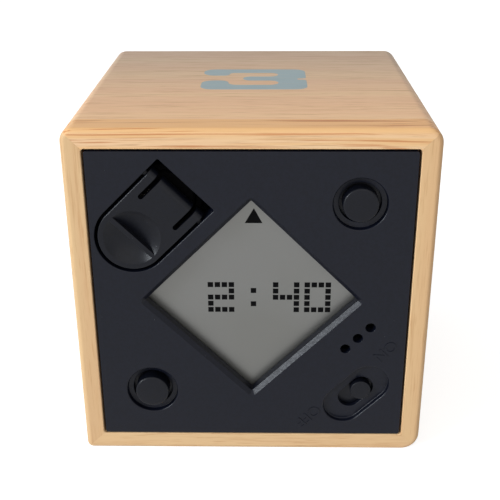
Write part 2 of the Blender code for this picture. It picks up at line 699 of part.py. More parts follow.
def build_battery():
    """Battery case behind the plate, its two cells, contacts, screws and wires."""
    axis = (0, DOOR_AXIS, 0)
    inner = rounded_outline(
        CELL_PLACES[0] - CASE_INNER, CELL_PLACES[1] + CASE_INNER, CASE_INNER, CASE_INNER, CASE_INNER, 8, 8
    )
    case = place(
        "battery_case",
        prism_mesh("battery_case", lambda grow: inner(CASE_WALL), [(CASE_BOTTOM, 0), (CASE_TOP, 0)]),
        black_plastic,
        diagonal,
        axis,
    )
    for number, (x, y) in enumerate(EAR_PLACES):
        towards = Vector((CELL_PLACES[1 - number] - x, DOOR_AXIS - y))
        length = towards.length
        ear_outline = rounded_outline(
            0, length + BOSS_RADIUS, BOSS_RADIUS, BOSS_RADIUS, BOSS_RADIUS
        )
        ear = prism_mesh("ear", ear_outline, [(CASE_TOP - CASE_FLANGE, 0), (CASE_TOP, 0)])
        angle = math.atan2(towards.y, towards.x)
        start = Vector((x, y, 0)) - Vector((math.cos(angle), math.sin(angle), 0)) * BOSS_RADIUS
        join(case, place(f"ear_{number}", ear, None, diagonal, start, (0, 0, angle)))
    cavity = prism_mesh("case_cavity", inner, [(CASE_INSIDE, 0), (CASE_TOP + GAP, 0)])
    cut(case, place("case_cavity", cavity, None, diagonal, axis))
    pedestal_top = CELL_BOTTOM - GAP - TAB_THICK - GAP
    pedestal = box_mesh(
        "pedestal",
        (CELL_PLACES[1] - TAB_SIDE / 2, -CASE_INNER - CASE_WALL / 2, CASE_INSIDE - CASE_FLOOR / 2),
        (CELL_PLACES[1] + TAB_SIDE / 2, CASE_INNER + CASE_WALL / 2, pedestal_top),
    )
    join(case, place("pedestal", pedestal, None, diagonal, axis))
    screws = []
    for number, (x, y) in enumerate(EAR_PLACES):
        hole = rod_mesh("ear_hole", SCREW_RADIUS + GAP, CASE_TOP - CASE_FLANGE - GAP, CASE_TOP + GAP, 16)
        cut(case, place(f"ear_hole_{number}", hole, None, diagonal, (x, y, 0)))
        screws.append((x, y, CASE_TOP - CASE_FLANGE - GAP))
    build_screws("case_screw", screws, PLATE_BACK - GAP)

    edge = 0.4 * MM
    label = [(0, NUB_HEIGHT), (NUB_RADIUS, NUB_HEIGHT), (NUB_RADIUS, 0), (CELL_RADIUS - edge, 0),
             (CELL_RADIUS, -edge), (CELL_RADIUS, NUB_HEIGHT + edge - CELL_LENGTH),
             (CELL_RADIUS - edge, NUB_HEIGHT - CELL_LENGTH), (0, NUB_HEIGHT - CELL_LENGTH)]
    first_nub = CELL_TOP - NUB_HEIGHT
    second_nub = CELL_BOTTOM + NUB_HEIGHT
    turned("battery_cell_1", label, cell_sleeve, diagonal, (CELL_PLACES[0], DOOR_AXIS, first_nub))
    turned("battery_cell_2", label, cell_sleeve, diagonal, (CELL_PLACES[1], DOOR_AXIS, second_nub),
           (math.pi, 0, 0))

    count = SPRING_TURNS * SPRING_POINTS
    rise = SPRING_HEIGHT - 2 * SPRING_WIRE
    coil = []
    for i in range(count + 1):
        angle = 2 * math.pi * i / SPRING_POINTS
        coil.append((
            CELL_PLACES[0] + SPRING_RADIUS * math.cos(angle),
            DOOR_AXIS + SPRING_RADIUS * math.sin(angle),
            CASE_INSIDE + GAP + SPRING_WIRE + rise * i / count,
        ))
    tube("battery_spring", coil, SPRING_WIRE, spring_steel, diagonal)
    half = TAB_SIDE / 2
    contact = box_mesh(
        "battery_contact",
        (CELL_PLACES[1] - half, DOOR_AXIS - half, pedestal_top + GAP),
        (CELL_PLACES[1] + half, DOOR_AXIS + half, pedestal_top + GAP + TAB_THICK),
    )
    place("battery_contact", contact, spring_steel, diagonal)
    tab_top = CASE_BOTTOM - GAP
    tab_mesh = box_mesh("solder_tab", (-half, -half, tab_top - TAB_THICK), (half, half, tab_top))
    spots = [(x, DOOR_AXIS, 0) for x in CELL_PLACES]
    place_copies("solder_tab", tab_mesh, spots, spring_steel, diagonal)
    start = tab_top - TAB_THICK - GAP
    drop = (start + CUBE - BOARD) / 4
    wires = (("black_wire", black_sleeve, 0), ("red_wire", red_sleeve, 1))
    for name, sleeve, number in wires:
        x = CELL_PLACES[number]
        lane = DOOR_AXIS - CASE_OUTER - 3 * WIRE_RADIUS
        pad = (x / 2 + CELL_MIDDLE / 2, BOARD_TOP - 6 * WIRE_RADIUS)
        route = [
            (x, DOOR_AXIS, start),
            (x, DOOR_AXIS, start - drop / 2),
            (x, (DOOR_AXIS + lane) / 2, start - drop),
            (x, lane - WIRE_RADIUS, start + WIRE_RADIUS),
            (x, lane, (CASE_BOTTOM + BOARD_BACK) / 2),
            ((x + pad[0]) / 2, (lane + pad[1]) / 2, BOARD_BACK - 12 * WIRE_RADIUS),
            (*pad, BOARD_BACK - GAP - 3 * WIRE_RADIUS),
            (*pad, BOARD_BACK - GAP),
        ]
        tube(name, smooth_route(route), WIRE_RADIUS, sleeve, diagonal)


def build_screws(name, heads, tip):
    """Pan-head screws whose heads sit below the given points and whose tips reach a level."""
    base = heads[0][2]
    edge = SCREW_HEAD_HEIGHT / 3
    profile = [
        (0, tip - base), (SCREW_RADIUS, tip - base), (SCREW_RADIUS, 0), (SCREW_HEAD_RADIUS, 0),
        (SCREW_HEAD_RADIUS, -edge), (SCREW_HEAD_RADIUS - edge, -SCREW_HEAD_HEIGHT),
        (0, -SCREW_HEAD_HEIGHT),
    ]
    for number, spot in enumerate(heads, start=1):
        turned(f"{name}_{number}", profile, zinc, diagonal, spot, steps=16)


def build_display():
    """Polariser, glass, reflector and contact strips, inside a square frame."""
    stack = (
        ("display_polariser", GLASS_HALF - GAP, GLASS_FRONT + GAP, POLARISER_THICK, polariser),
        ("display_glass", GLASS_HALF, GLASS_BACK, GLASS_THICK, glass),
        ("display_reflector", WINDOW_HALF - GAP - STRIP_THICK / 2, STRIP_FRONT - REFLECTOR_THICK,
         REFLECTOR_THICK, foil),
    )
    for name, half, low, thick, material in stack:
        mesh = box_mesh(name, (-half, -half, low), (half, half, low + thick))
        place(name, mesh, material, diagonal)
    half = STRIP_THICK / 2
    strip_mesh = box_mesh(
        "contact_strip", (-half, -WINDOW_HALF, STRIP_FRONT - STRIP_HEIGHT), (half, WINDOW_HALF, STRIP_FRONT)
    )
    spots = [(sx * (GLASS_HALF - half), 0, 0) for sx in (-1, 1)]
    place_copies("contact_strip", strip_mesh, spots, silicone, diagonal)

    frame = place(
        "display_frame",
        prism_mesh("display_frame", square_outline(FRAME_HALF), [(BOARD_FRONT + GAP, 0), (UNDER_PLATE, 0)]),
        grey_plastic,
        diagonal,
    )
    inside = prism_mesh("frame_inside", square_outline(GLASS_HALF + GAP), [(BOARD_FRONT, 0), (PLATE_BACK, 0)])
    cut(frame, place("frame_inside", inside, None, diagonal))


def build_buttons():
    """Two push buttons, each a cap, a rubber plunger with its contact pill and a rubber skirt."""
    flange = UNDER_PLATE - CAP_FLANGE
    cap = [
        (0, CAP_TOP), *arc(CAP_RADIUS - CAP_ROUNDING, CAP_TOP - CAP_ROUNDING, CAP_ROUNDING, 90, 0, 4),
        (CAP_RADIUS, UNDER_PLATE), (CAP_FLANGE_RADIUS, UNDER_PLATE), (CAP_FLANGE_RADIUS, flange),
        (STEM_RADIUS, flange), (STEM_RADIUS, CAP_END), (0, CAP_END),
    ]
    top = CAP_END - GAP
    pill = PLUNGER_END + PILL_THICK
    plunger = [
        (0, top), (STEM_RADIUS, top), (PLUNGER_RADIUS, top - GAP), (PLUNGER_RADIUS, pill),
        (PILL_RADIUS, pill), (PILL_RADIUS, PLUNGER_END), (0, PLUNGER_END),
    ]
    foot = BOARD_FRONT + GAP
    throat = PLUNGER_RADIUS + GAP
    skirt = [
        (throat, foot + DOME_HEIGHT), (throat + DOME_WALL, foot + DOME_HEIGHT),
        (throat + DOME_SPREAD + DOME_WALL, foot + DOME_WALL), (throat + DOME_SPREAD + DOME_WALL, foot),
        (throat + DOME_SPREAD - DOME_WALL, foot), (throat, foot + DOME_HEIGHT - 2 * DOME_WALL),
    ]
    for name, side in (("clear", -1), ("set", 1)):
        guide = new_frame(f"{name}_button_guide", (side * BUTTON_PLACE, 0, 0), (0, 0, 0), diagonal)
        turned(f"{name}_button", cap, black_plastic, guide)
        turned(f"{name}_plunger", plunger, silicone, guide)
        turned(f"{name}_skirt", skirt, silicone, guide, closed=True)


def build_switch():
    """Slide switch: the knob under the plate, the lever it carries and the housing."""
    guide = new_frame("switch_guide", (0, SWITCH_PLACE, 0), (0, 0, 0), diagonal)
    flange = UNDER_PLATE - KNOB_FLANGE
    socket_end = flange - KNOB_SOCKET_DEPTH
    cap = [
        (0, KNOB_TOP),
        *arc(KNOB_RADIUS - KNOB_ROUNDING, KNOB_TOP - KNOB_ROUNDING, KNOB_ROUNDING, 90, 0, 3),
        (KNOB_RADIUS, flange + KNOB_FLANGE / 2), (0, flange + KNOB_FLANGE / 2),
    ]
    rest = (KNOB_REST, 0, 0)
    knob = turned("switch_knob", cap, black_plastic, guide, rest)
    slot_half = KNOB_RADIUS + SWITCH_TRAVEL / 2 + SLOT_END_CLEARANCE
    half_length = slot_half + SWITCH_TRAVEL / 2 + KNOB_FLANGE_COVER
    half_width = KNOB_RADIUS + KNOB_CLEARANCE + KNOB_FLANGE_COVER
    plate = rounded_outline(-half_length, half_length, half_width, half_width, half_width, 6, 6)
    socket = LEVER_HALF + GAP
    block = socket + 2 * GAP
    join(
        knob,
        place("knob_flange", prism_mesh("knob_flange", plate, [(flange, 0), (UNDER_PLATE, 0)]),
              None, guide, rest),
        place("knob_socket", box_mesh("knob_socket", (-block, -block, socket_end),
                                      (block, block, flange + GAP)), None, guide, rest),
    )
    cut(
        knob,
        place("socket_hole", box_mesh("socket_hole", (-socket, -socket, socket_end - GAP),
                                      (socket, socket, flange - GAP)), None, guide, rest),
    )
    foot = BOARD_FRONT + GAP
    housing_top = foot + SWITCH_HOUSING_HEIGHT
    lever_low = housing_top - LEVER_PLUNGE
    lever = box_mesh(
        "switch_lever", (-LEVER_HALF, -LEVER_HALF, lever_low), (LEVER_HALF, LEVER_HALF, flange - 2 * GAP)
    )
    place("switch_lever", lever, nylon, guide, rest)
    housing = place(
        "switch_housing",
        box_mesh(
            "switch_housing",
            (-SWITCH_HOUSING_HALF_LENGTH, -SWITCH_HOUSING_HALF_WIDTH, foot),
            (SWITCH_HOUSING_HALF_LENGTH, SWITCH_HOUSING_HALF_WIDTH, housing_top),
        ),
        zinc,
        guide,
    )
    run = LEVER_HALF + SWITCH_TRAVEL / 2 + GAP
    pocket = box_mesh("lever_pocket", (-run, -socket, lever_low - GAP), (run, socket, housing_top + GAP))
    cut(housing, place("lever_pocket", pocket, None, guide))


def build_board():
    """Circuit board with the buzzer in front and the chip and small parts behind."""
    clip = BOARD_REACH - BOARD_CLIP
    corners = [
        (-(BOARD_REACH - BOARD_TOP), BOARD_TOP), (-BOARD_CLIP, clip), (-BOARD_CLIP, -clip),
        (-clip, -BOARD_CLIP), (clip, -BOARD_CLIP), (BOARD_CLIP, -clip), (BOARD_CLIP, clip),
        (BOARD_REACH - BOARD_TOP, BOARD_TOP),
    ]
    board = place(
        "circuit_board",
        prism_mesh("circuit_board", lambda grow: corners, [(BOARD_BACK, 0), (BOARD_FRONT, 0)]),
        laminate,
        diagonal,
    )
    screws = []
    for number, (x, y) in enumerate(BOSS_PLACES):
        hole = rod_mesh("board_hole", SCREW_RADIUS + GAP, BOARD_BACK - GAP, BOARD_FRONT + GAP, 16)
        cut(board, place(f"board_hole_{number}", hole, None, diagonal, (x, y, 0)))
        screws.append((x, y, BOARD_BACK - GAP))
    build_screws("board_screw", screws, BOARD_FRONT + SCREW_BITE)

    foot = BOARD_FRONT + GAP
    top = foot + BUZZER_HEIGHT
    buzzer = turned("buzzer", [
        (0, top), (BUZZER_RADIUS - GAP, top), (BUZZER_RADIUS, top - GAP), (BUZZER_RADIUS, foot), (0, foot),
    ], black_plastic, diagonal, (*BUZZER_PLACE, 0))
    mouth = rod_mesh("buzzer_mouth", BUZZER_MOUTH, foot + BUZZER_HEIGHT / 2, top + GAP, 20)
    cut(buzzer, place("buzzer_mouth", mouth, None, diagonal, (*BUZZER_PLACE, 0)))

    back = BOARD_BACK - GAP
    blob = (CHIP_RADIUS**2 + CHIP_HEIGHT**2) / (2 * CHIP_HEIGHT)
    rim = math.degrees(math.asin(CHIP_RADIUS / blob))
    turned(
        "controller_chip",
        [(0, back), *arc(0, back - CHIP_HEIGHT + blob, blob, rim - 90, -90, 8)],
        epoxy,
        diagonal,
        (0, -FRAME_HALF / 2, 0),
    )
    crystal = rod_mesh("crystal", CRYSTAL_RADIUS, -CRYSTAL_LENGTH / 2, CRYSTAL_LENGTH / 2, 20)
    place("crystal", crystal, zinc, diagonal, (0, -FRAME_HALF - CRYSTAL_RADIUS, back - CRYSTAL_RADIUS),
          (0, math.pi / 2, 0))
    base = back - CAPACITOR_HEIGHT
    capacitor = rod_mesh("capacitor", CAPACITOR_RADIUS, base, back, 24)
    place("capacitor", capacitor, aluminium, diagonal, (FRAME_HALF / 2, -FRAME_HALF + CAPACITOR_RADIUS, 0))
    length, width, height = RESISTOR_SIZE
    resistor_mesh = box_mesh(
        "resistor", (-length / 2, -width / 2, back - height), (length / 2, width / 2, back)
    )
    first = -(RESISTOR_COUNT - 1) / 2 * RESISTOR_PITCH
    row = -FRAME_HALF - 4 * CRYSTAL_RADIUS
    spots = [(first + i * RESISTOR_PITCH, row, 0) for i in range(RESISTOR_COUNT)]
    place_copies("resistor", resistor_mesh, spots, epoxy, diagonal)


def build_tilt_switches():
    """Two tilt switches on the rear of the board, each a can, its plug and a loose ball."""
    bore = TILT_RADIUS - TILT_WALL
    half = TILT_LENGTH / 2
    can = [
        (0, half), (TILT_RADIUS, half), (TILT_RADIUS, -half), (bore, -half), (bore, half - TILT_WALL),
        (0, half - TILT_WALL),
    ]
    plug_top = -half + TILT_PLUG
    plug = [
        (0, plug_top), (bore - GAP, plug_top), (bore - GAP, -half), (0, -half),
    ]
    level = BOARD_BACK - GAP - TILT_RADIUS
    reach = FRAME_HALF / 2 + TILT_RADIUS
    ball_rest = plug_top + GAP + BALL_RADIUS
    places = (
        (1, (-reach, -FRAME_HALF / 6, level), (0, math.pi / 2, 0)),
        (2, (reach, -FRAME_HALF / 6, level), (-math.pi / 2, 0, 0)),
    )
    for number, spot, rotation in places:
        guide = new_frame(f"tilt_guide_{number}", spot, rotation, diagonal)
        turned(f"tilt_can_{number}", can, zinc, guide)
        turned(f"tilt_plug_{number}", plug, nylon, guide)
        bm = bmesh.new()
        bmesh.ops.create_uvsphere(bm, u_segments=20, v_segments=12, radius=BALL_RADIUS)
        mesh = finish_mesh(bm, f"tilt_ball_{number}", smooth=True)
        place(f"tilt_ball_{number}", mesh, steel, guide, (0, 0, ball_rest))


clear_scene()
parts = new_collection("cube_timer")
cutters = new_collection("cutters")

wood = new_material("light_wood", (0.74, 0.49, 0.27), 0.55)
black_plastic = new_material("black_plastic", (0.024, 0.027, 0.038), 0.45)
grey_plastic = new_material("grey_plastic", (0.10, 0.10, 0.11), 0.5)
nylon = new_material("nylon", (0.75, 0.74, 0.70), 0.5)
silicone = new_material("silicone", (0.30, 0.31, 0.32), 0.6)
polariser = new_material("polariser", (0.21, 0.21, 0.19), 0.35)
glass = new_material("glass", (0.62, 0.66, 0.62), 0.1)
foil = new_material("reflector", (0.55, 0.55, 0.52), 0.35, 0.6)
laminate = new_material("laminate", (0.05, 0.22, 0.09), 0.4)
epoxy = new_material("epoxy", (0.015, 0.015, 0.015), 0.35)
zinc = new_material("zinc_plate", (0.62, 0.62, 0.60), 0.3, 1.0)
steel = new_material("polished_steel", (0.72, 0.72, 0.72), 0.1, 1.0)
spring_steel = new_material("nickel_plate", (0.66, 0.64, 0.58), 0.25, 1.0)
aluminium = new_material("aluminium", (0.80, 0.80, 0.80), 0.35, 1.0)
cell_sleeve = new_material("cell_sleeve", (0.18, 0.20, 0.24), 0.3, 0.4)
red_sleeve = new_material("red_sleeve", (0.55, 0.02, 0.02), 0.4)
black_sleeve = new_material("black_sleeve", (0.02, 0.02, 0.02), 0.4)

face = new_frame("face", (0, BOX_MIDDLE - CUBE / 2, CUBE / 2), (math.pi / 2, 0, 0))
diagonal = new_frame("diagonal", (0, 0, 0), (0, 0, math.pi / 4), face)

build_box()
build_plate()
build_door()
build_battery()
build_display()
build_buttons()
build_switch()
build_board()
build_tilt_switches()
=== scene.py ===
"""Looks of a cube timer: a box of light wood with a black display module let into its front.

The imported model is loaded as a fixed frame. Pieces whose plain solids are too coarse for a close
look are modelled again here, in the same places, and every other solid gets a finish of its own.
"""

import json
import logging
import math
from collections.abc import Iterable, Mapping, Sequence
from dataclasses import dataclass, field
from enum import Enum

import bmesh
import bpy
from mathutils import Matrix, Vector


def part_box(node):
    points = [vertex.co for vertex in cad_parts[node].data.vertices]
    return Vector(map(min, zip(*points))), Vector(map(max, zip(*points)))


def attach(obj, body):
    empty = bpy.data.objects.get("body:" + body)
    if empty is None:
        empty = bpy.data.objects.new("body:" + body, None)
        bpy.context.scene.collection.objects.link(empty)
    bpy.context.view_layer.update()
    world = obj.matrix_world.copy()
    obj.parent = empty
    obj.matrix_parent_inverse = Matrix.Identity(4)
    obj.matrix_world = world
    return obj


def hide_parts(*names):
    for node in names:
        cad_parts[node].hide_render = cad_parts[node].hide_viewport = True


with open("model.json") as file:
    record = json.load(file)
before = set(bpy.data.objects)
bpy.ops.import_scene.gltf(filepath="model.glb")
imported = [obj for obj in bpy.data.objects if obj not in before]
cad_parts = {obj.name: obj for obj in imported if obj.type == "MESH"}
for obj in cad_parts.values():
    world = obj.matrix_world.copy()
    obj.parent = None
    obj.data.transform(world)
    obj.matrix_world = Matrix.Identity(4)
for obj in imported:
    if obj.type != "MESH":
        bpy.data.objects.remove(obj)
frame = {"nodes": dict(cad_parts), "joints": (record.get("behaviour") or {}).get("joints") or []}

MM = 0.001
WELD = 0.0005 * MM
SMOOTH_ANGLE = math.radians(32)
# How far a cutter, or a piece to be joined, reaches past the face that it meets.
OVER = 0.3 * MM
TURN_STEPS = 96
QUARTER_TURN = math.pi / 2
Span = tuple[float, float]
Triple = tuple[float, float, float]
Colour = Triple
Profile = Sequence[Span]
Socket = bpy.types.NodeSocket
# What an input of a shader node takes.
Feed = Socket | float | Triple
# Nearly all values of a noise lie between these.
NOISE_RANGE: Span = (0.3, 0.7)

log = logging.getLogger("cube_timer")


class Side(Enum):
    """Sides of the box round its front, by quarter turns from the top."""

    TOP = 0
    LEFT = 1
    BOTTOM = 2
    RIGHT = 3


class Operation(Enum):
    """Boolean operations that a carved piece is made with."""

    CUT = "DIFFERENCE"
    JOIN = "UNION"
    COMMON = "INTERSECT"


Step = tuple[Operation, bpy.types.Mesh]


class Rounding(Enum):
    """What a bevel rounds."""

    CORNERS = "VERTICES"
    EDGES = "EDGES"


def srgb(red: int, green: int, blue: int) -> Colour:
    """Turn a colour on the 0 to 255 scale of a screen into linear light.

    Args:
        red: Red on the screen's scale.
        green: Green on the screen's scale.
        blue: Blue on the screen's scale.

    Returns:
        The linear red, green and blue.
    """
    shares = (value / 255 for value in (red, green, blue))
    return tuple(c / 12.92 if c < 0.04045 else ((c + 0.055) / 1.055) ** 2.4 for c in shares)


EIGHTH = Matrix.Rotation(math.pi / 4, 4, "Z")


@dataclass(frozen=True)
class Setting:
    """Where the box and its module lie, read from the frame.

    The face frame has x to the right, y up and z out of the front, with its origin in the middle of
    the front. The diagonal frame is the same turned by an eighth, so that x runs up to the right.
    """

    cube: float
    front: float
    board: float
    plate_front: float
    under_plate: float
    board_front: float
    polariser_front: float
    door_axis: Vector

    @classmethod
    def read(cls) -> "Setting":
        """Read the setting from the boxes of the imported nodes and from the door's joint.

        Returns:
            The setting.
        """
        low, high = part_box("top_board")
        front = low.y
        hinge = next(joint for joint in frame["joints"] if joint["name"] == "door_hinge")
        return cls(
            cube=high.z,
            front=front,
            board=high.z - low.z,
            plate_front=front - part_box("front_plate")[0].y,
            under_plate=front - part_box("display_frame")[0].y,
            board_front=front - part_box("circuit_board")[0].y,
            polariser_front=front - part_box("display_polariser")[0].y,
            door_axis=Vector(hinge["pos_m"]),
        )

    @property
    def face(self) -> Matrix:
        """Matrix of the face frame."""
        middle = Vector((0, self.front, self.cube / 2))
        return Matrix.Translation(middle) @ Matrix.Rotation(QUARTER_TURN, 4, "X")

    @property
    def diagonal(self) -> Matrix:
        """Matrix of the diagonal frame."""
        return self.face @ EIGHTH

    def place(self, node: str) -> Vector:
        """Give the middle of a node's box in the diagonal frame."""
        low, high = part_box(node)
        return self.diagonal.inverted() @ ((low + high) / 2)

    def top(self, node: str) -> float:
        """Give the level of a node's foremost point in the face frame."""
        return self.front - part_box(node)[0].y


def shift(x: float, y: float, z: float = 0.0) -> Matrix:
    """Give the matrix of a move."""
    return Matrix.Translation((x, y, z))


def linked(name: str, data: bpy.types.ID) -> bpy.types.Object:
    """Put a new object into the scene.

    Args:
        name: Name of the object.
        data: Its mesh, curve, camera or light.

    Returns:
        The new object.
    """
    obj = bpy.data.objects.new(name, data)
    bpy.context.scene.collection.objects.link(obj)
    return obj


def mesh_from(bm: bmesh.types.BMesh, name: str, matrix: Matrix | None = None) -> bpy.types.Mesh:
    """Weld a bmesh, turn its faces outwards and make it a mesh.

    Args:
        bm: The bmesh, which is freed.
        name: Name of the new mesh.
        matrix: Where the mesh goes.

    Returns:
        The mesh, smooth but for its sharp edges.
    """
    bmesh.ops.remove_doubles(bm, verts=bm.verts, dist=WELD)
    bmesh.ops.recalc_face_normals(bm, faces=bm.faces)
    mesh = bpy.data.meshes.new(name)
    bm.to_mesh(mesh)
    bm.free()
    if matrix is not None:
        mesh.transform(matrix)
    mesh.shade_smooth()
    mesh.set_sharp_from_angle(angle=SMOOTH_ANGLE)
    return mesh


def bevel(
    bm: bmesh.types.BMesh, geom: Iterable, radius: float, steps: int, kind: Rounding = Rounding.CORNERS
) -> None:
    """Round corners or edges.

    Args:
        bm: The shape.
        geom: Its vertices or edges to round.
        radius: Radius of the rounding, or the length that it takes off each side of a corner.
        steps: Number of faces or edges across it.
        kind: Whether corners or edges are rounded.
    """
    bmesh.ops.bevel(
        bm, geom=list(geom), offset=radius, offset_type="OFFSET", affect=kind.value, segments=steps,
        profile=0.5, material=-1, clamp_overlap=False,
    )


def extruded(bm: bmesh.types.BMesh, move: Triple) -> bmesh.types.BMesh:
    """Give flat faces a thickness.

    Args:
        bm: The flat shape.
        move: Where the second side lies from the first.

    Returns:
        The same shape, now a closed solid.
    """
    made = bmesh.ops.extrude_face_region(bm, geom=list(bm.faces), use_keep_orig=True)["geom"]
    verts = [item for item in made if isinstance(item, bmesh.types.BMVert)]
    bmesh.ops.translate(bm, vec=move, verts=verts)
    return bm


def box(low: Sequence[float], high: Sequence[float]) -> bmesh.types.BMesh:
    """Make a box between two corners.

    Args:
        low: Its lowest corner.
        high: Its highest corner.

    Returns:
        The box.
    """
    bm = bmesh.new()
    bmesh.ops.create_cube(bm, size=1.0)
    low, high = Vector(low), Vector(high)
    bmesh.ops.scale(bm, vec=high - low, verts=bm.verts)
    bmesh.ops.translate(bm, vec=(low + high) / 2, verts=bm.verts)
    return bm


def arc(
    centre_r: float, centre_z: float, radius: float, start: float, end: float, steps: int
) -> list[Span]:
    """List the points of an arc in a profile.

    Args:
        centre_r: Distance of the arc's centre from the axis.
        centre_z: Height of the arc's centre.
        radius: Radius of the arc.
        start: First angle in degrees.
        end: Last angle in degrees.
        steps: Number of chords.

    Returns:
        The points, from start to end.
    """
    angles = [math.radians(start + (end - start) * i / steps) for i in range(steps + 1)]
    return [(centre_r + radius * math.cos(a), centre_z + radius * math.sin(a)) for a in angles]


def turned(profile: Profile, steps: int = TURN_STEPS) -> bmesh.types.BMesh:
    """Turn a profile about z.

    Args:
        profile: Points of distance from the axis and height.
        steps: Number of steps in the whole turn.

    Returns:
        The turned shape.
    """
    bm = bmesh.new()
    verts = [bm.verts.new((radius, 0, height)) for radius, height in profile]
    edges = [bm.edges.new(pair) for pair in zip(verts, verts[1:])]
    bmesh.ops.spin(
        bm, geom=verts + edges, cent=(0, 0, 0), axis=(0, 0, 1), dvec=(0, 0, 0),
        angle=2 * math.pi, steps=steps, use_merge=True, use_duplicate=False,
    )
    bmesh.ops.remove_doubles(bm, verts=bm.verts, dist=WELD)
    return bm


def cylinder(radius: float, start: float, end: float, steps: int = TURN_STEPS) -> bmesh.types.BMesh:
    """Make a cylinder about z from one height to another."""
    return turned([(0, start), (radius, start), (radius, end), (0, end)], steps)


def pulled(bm: bmesh.types.BMesh, run: float) -> bmesh.types.BMesh:
    """Pull the two halves of a turned shape apart along x, which makes a bar with round ends.

    Args:
        bm: The turned shape, with the usual number of steps.
        run: How far the halves move apart.

    Returns:
        The same shape, now a bar.
    """
    turn = math.pi / TURN_STEPS
    bmesh.ops.rotate(bm, cent=(0, 0, 0), matrix=Matrix.Rotation(turn, 3, "Z"), verts=bm.verts)
    for sign in (-1, 1):
        half = [vert for vert in bm.verts if sign * vert.co.x > WELD]
        bmesh.ops.translate(bm, vec=(sign * run / 2, 0, 0), verts=half)
    return bm


@dataclass(frozen=True)
class Bar:
    """Outline of a bar along x with its own corner radius at each end."""

    low: float
    high: float
    half_width: float
    low_radius: float
    high_radius: float
    steps: int = 24

    @classmethod
    def square(cls, half: float, radius: float, steps: int = 4) -> "Bar":
        """Make the outline of a square."""
        return cls(-half, half, half, radius, radius, steps)

    def face(self, bm: bmesh.types.BMesh, level: float, grow: float) -> bmesh.types.BMFace:
        """Draw the outline as a face.

        Args:
            bm: The bmesh to draw in.
            level: Height of the face.
            grow: How far the outline moves outwards.

        Returns:
            The new face.
        """
        before = set(bm.faces)
        wide = self.half_width + grow
        corners = (
            (self.low - grow, -wide), (self.high + grow, -wide),
            (self.high + grow, wide), (self.low - grow, wide),
        )
        verts = [bm.verts.new((x, y, level)) for x, y in corners]
        bm.faces.new(verts)
        ends = ((self.low_radius, (verts[0], verts[3])), (self.high_radius, (verts[1], verts[2])))
        for radius, pair in ends:
            bevel(bm, pair, radius + grow, self.steps)
        return next(face for face in bm.faces if face not in before)

    def solid(self, levels: Sequence[Span]) -> bmesh.types.BMesh:
        """Make a solid through levels of height and growth.

        Args:
            levels: Height and growth of each section, from the lowest up.

        Returns:
            The closed solid.
        """
        bm = bmesh.new()
        sections = [self.face(bm, level, grow) for level, grow in levels]
        for lower, upper in zip(sections, sections[1:]):
            bmesh.ops.bridge_loops(bm, edges=[*lower.edges, *upper.edges])
        bmesh.ops.delete(bm, geom=sections[1:-1], context="FACES_ONLY")
        bmesh.ops.recalc_face_normals(bm, faces=bm.faces)
        return bm


def rounded(low: float, high: float, radius: float, steps: int = 4) -> list[Span]:
    """List levels of a straight side that ends in a rounded edge."""
    turn = arc(-radius, high - radius, radius, 0, 90, steps)
    return [(low, 0.0), *((height, grow) for grow, height in turn)]


def flared(low: float, high: float, radius: float, steps: int = 4) -> list[Span]:
    """List levels of a cutter that rounds the rim of its hole and ends above the surface."""
    turn = arc(radius, high - radius, radius, 180, 90, steps)
    return [(low, 0.0), *((height, grow) for grow, height in turn), (high + radius, radius)]


def carved(name: str, base: bpy.types.Mesh, steps: Iterable[Step]) -> bpy.types.Mesh:
    """Carve a mesh with Booleans.

    Args:
        name: Name of the result.
        base: Mesh to start from.
        steps: Pairs of an operation and the mesh that it uses, in order.

    Returns:
        The carved mesh, smooth but for its sharp edges.
    """
    work = linked(name, base)
    helpers = []
    for operation, mesh in steps:
        helpers.append(linked("helper", mesh))
        boolean = work.modifiers.new("Boolean", "BOOLEAN")
        boolean.operation = operation.value
        boolean.object = helpers[-1]
        boolean.solver = "EXACT"
    evaluated = work.evaluated_get(bpy.context.evaluated_depsgraph_get())
    bm = bmesh.new()
    bm.from_mesh(evaluated.to_mesh())
    evaluated.to_mesh_clear()
    for used in (work, *helpers):
        mesh = used.data
        bpy.data.objects.remove(used)
        bpy.data.meshes.remove(mesh)
    return mesh_from(bm, name)


def show(
    name: str,
    mesh: bpy.types.Mesh,
    material: bpy.types.Material,
    body: str,
    nodes: Sequence[str] = (),
) -> bpy.types.Object:
    """Put a finished mesh into the scene as a piece.

    Args:
        name: Name of the piece.
        mesh: Its mesh, in the frame's coordinates.
        material: Its finish.
        body: Body that it rides on.
        nodes: Nodes that it stands for.

    Returns:
        The new object.
    """
    obj = linked(name, mesh)
    mesh.materials.clear()
    mesh.materials.append(material)
    weighted = obj.modifiers.new("Weighted normals", "WEIGHTED_NORMAL")
    weighted.keep_sharp = True
    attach(obj, body)
    if nodes:
        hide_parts(*nodes)
    log.info("%s: %d faces", name, len(mesh.polygons))
    return obj


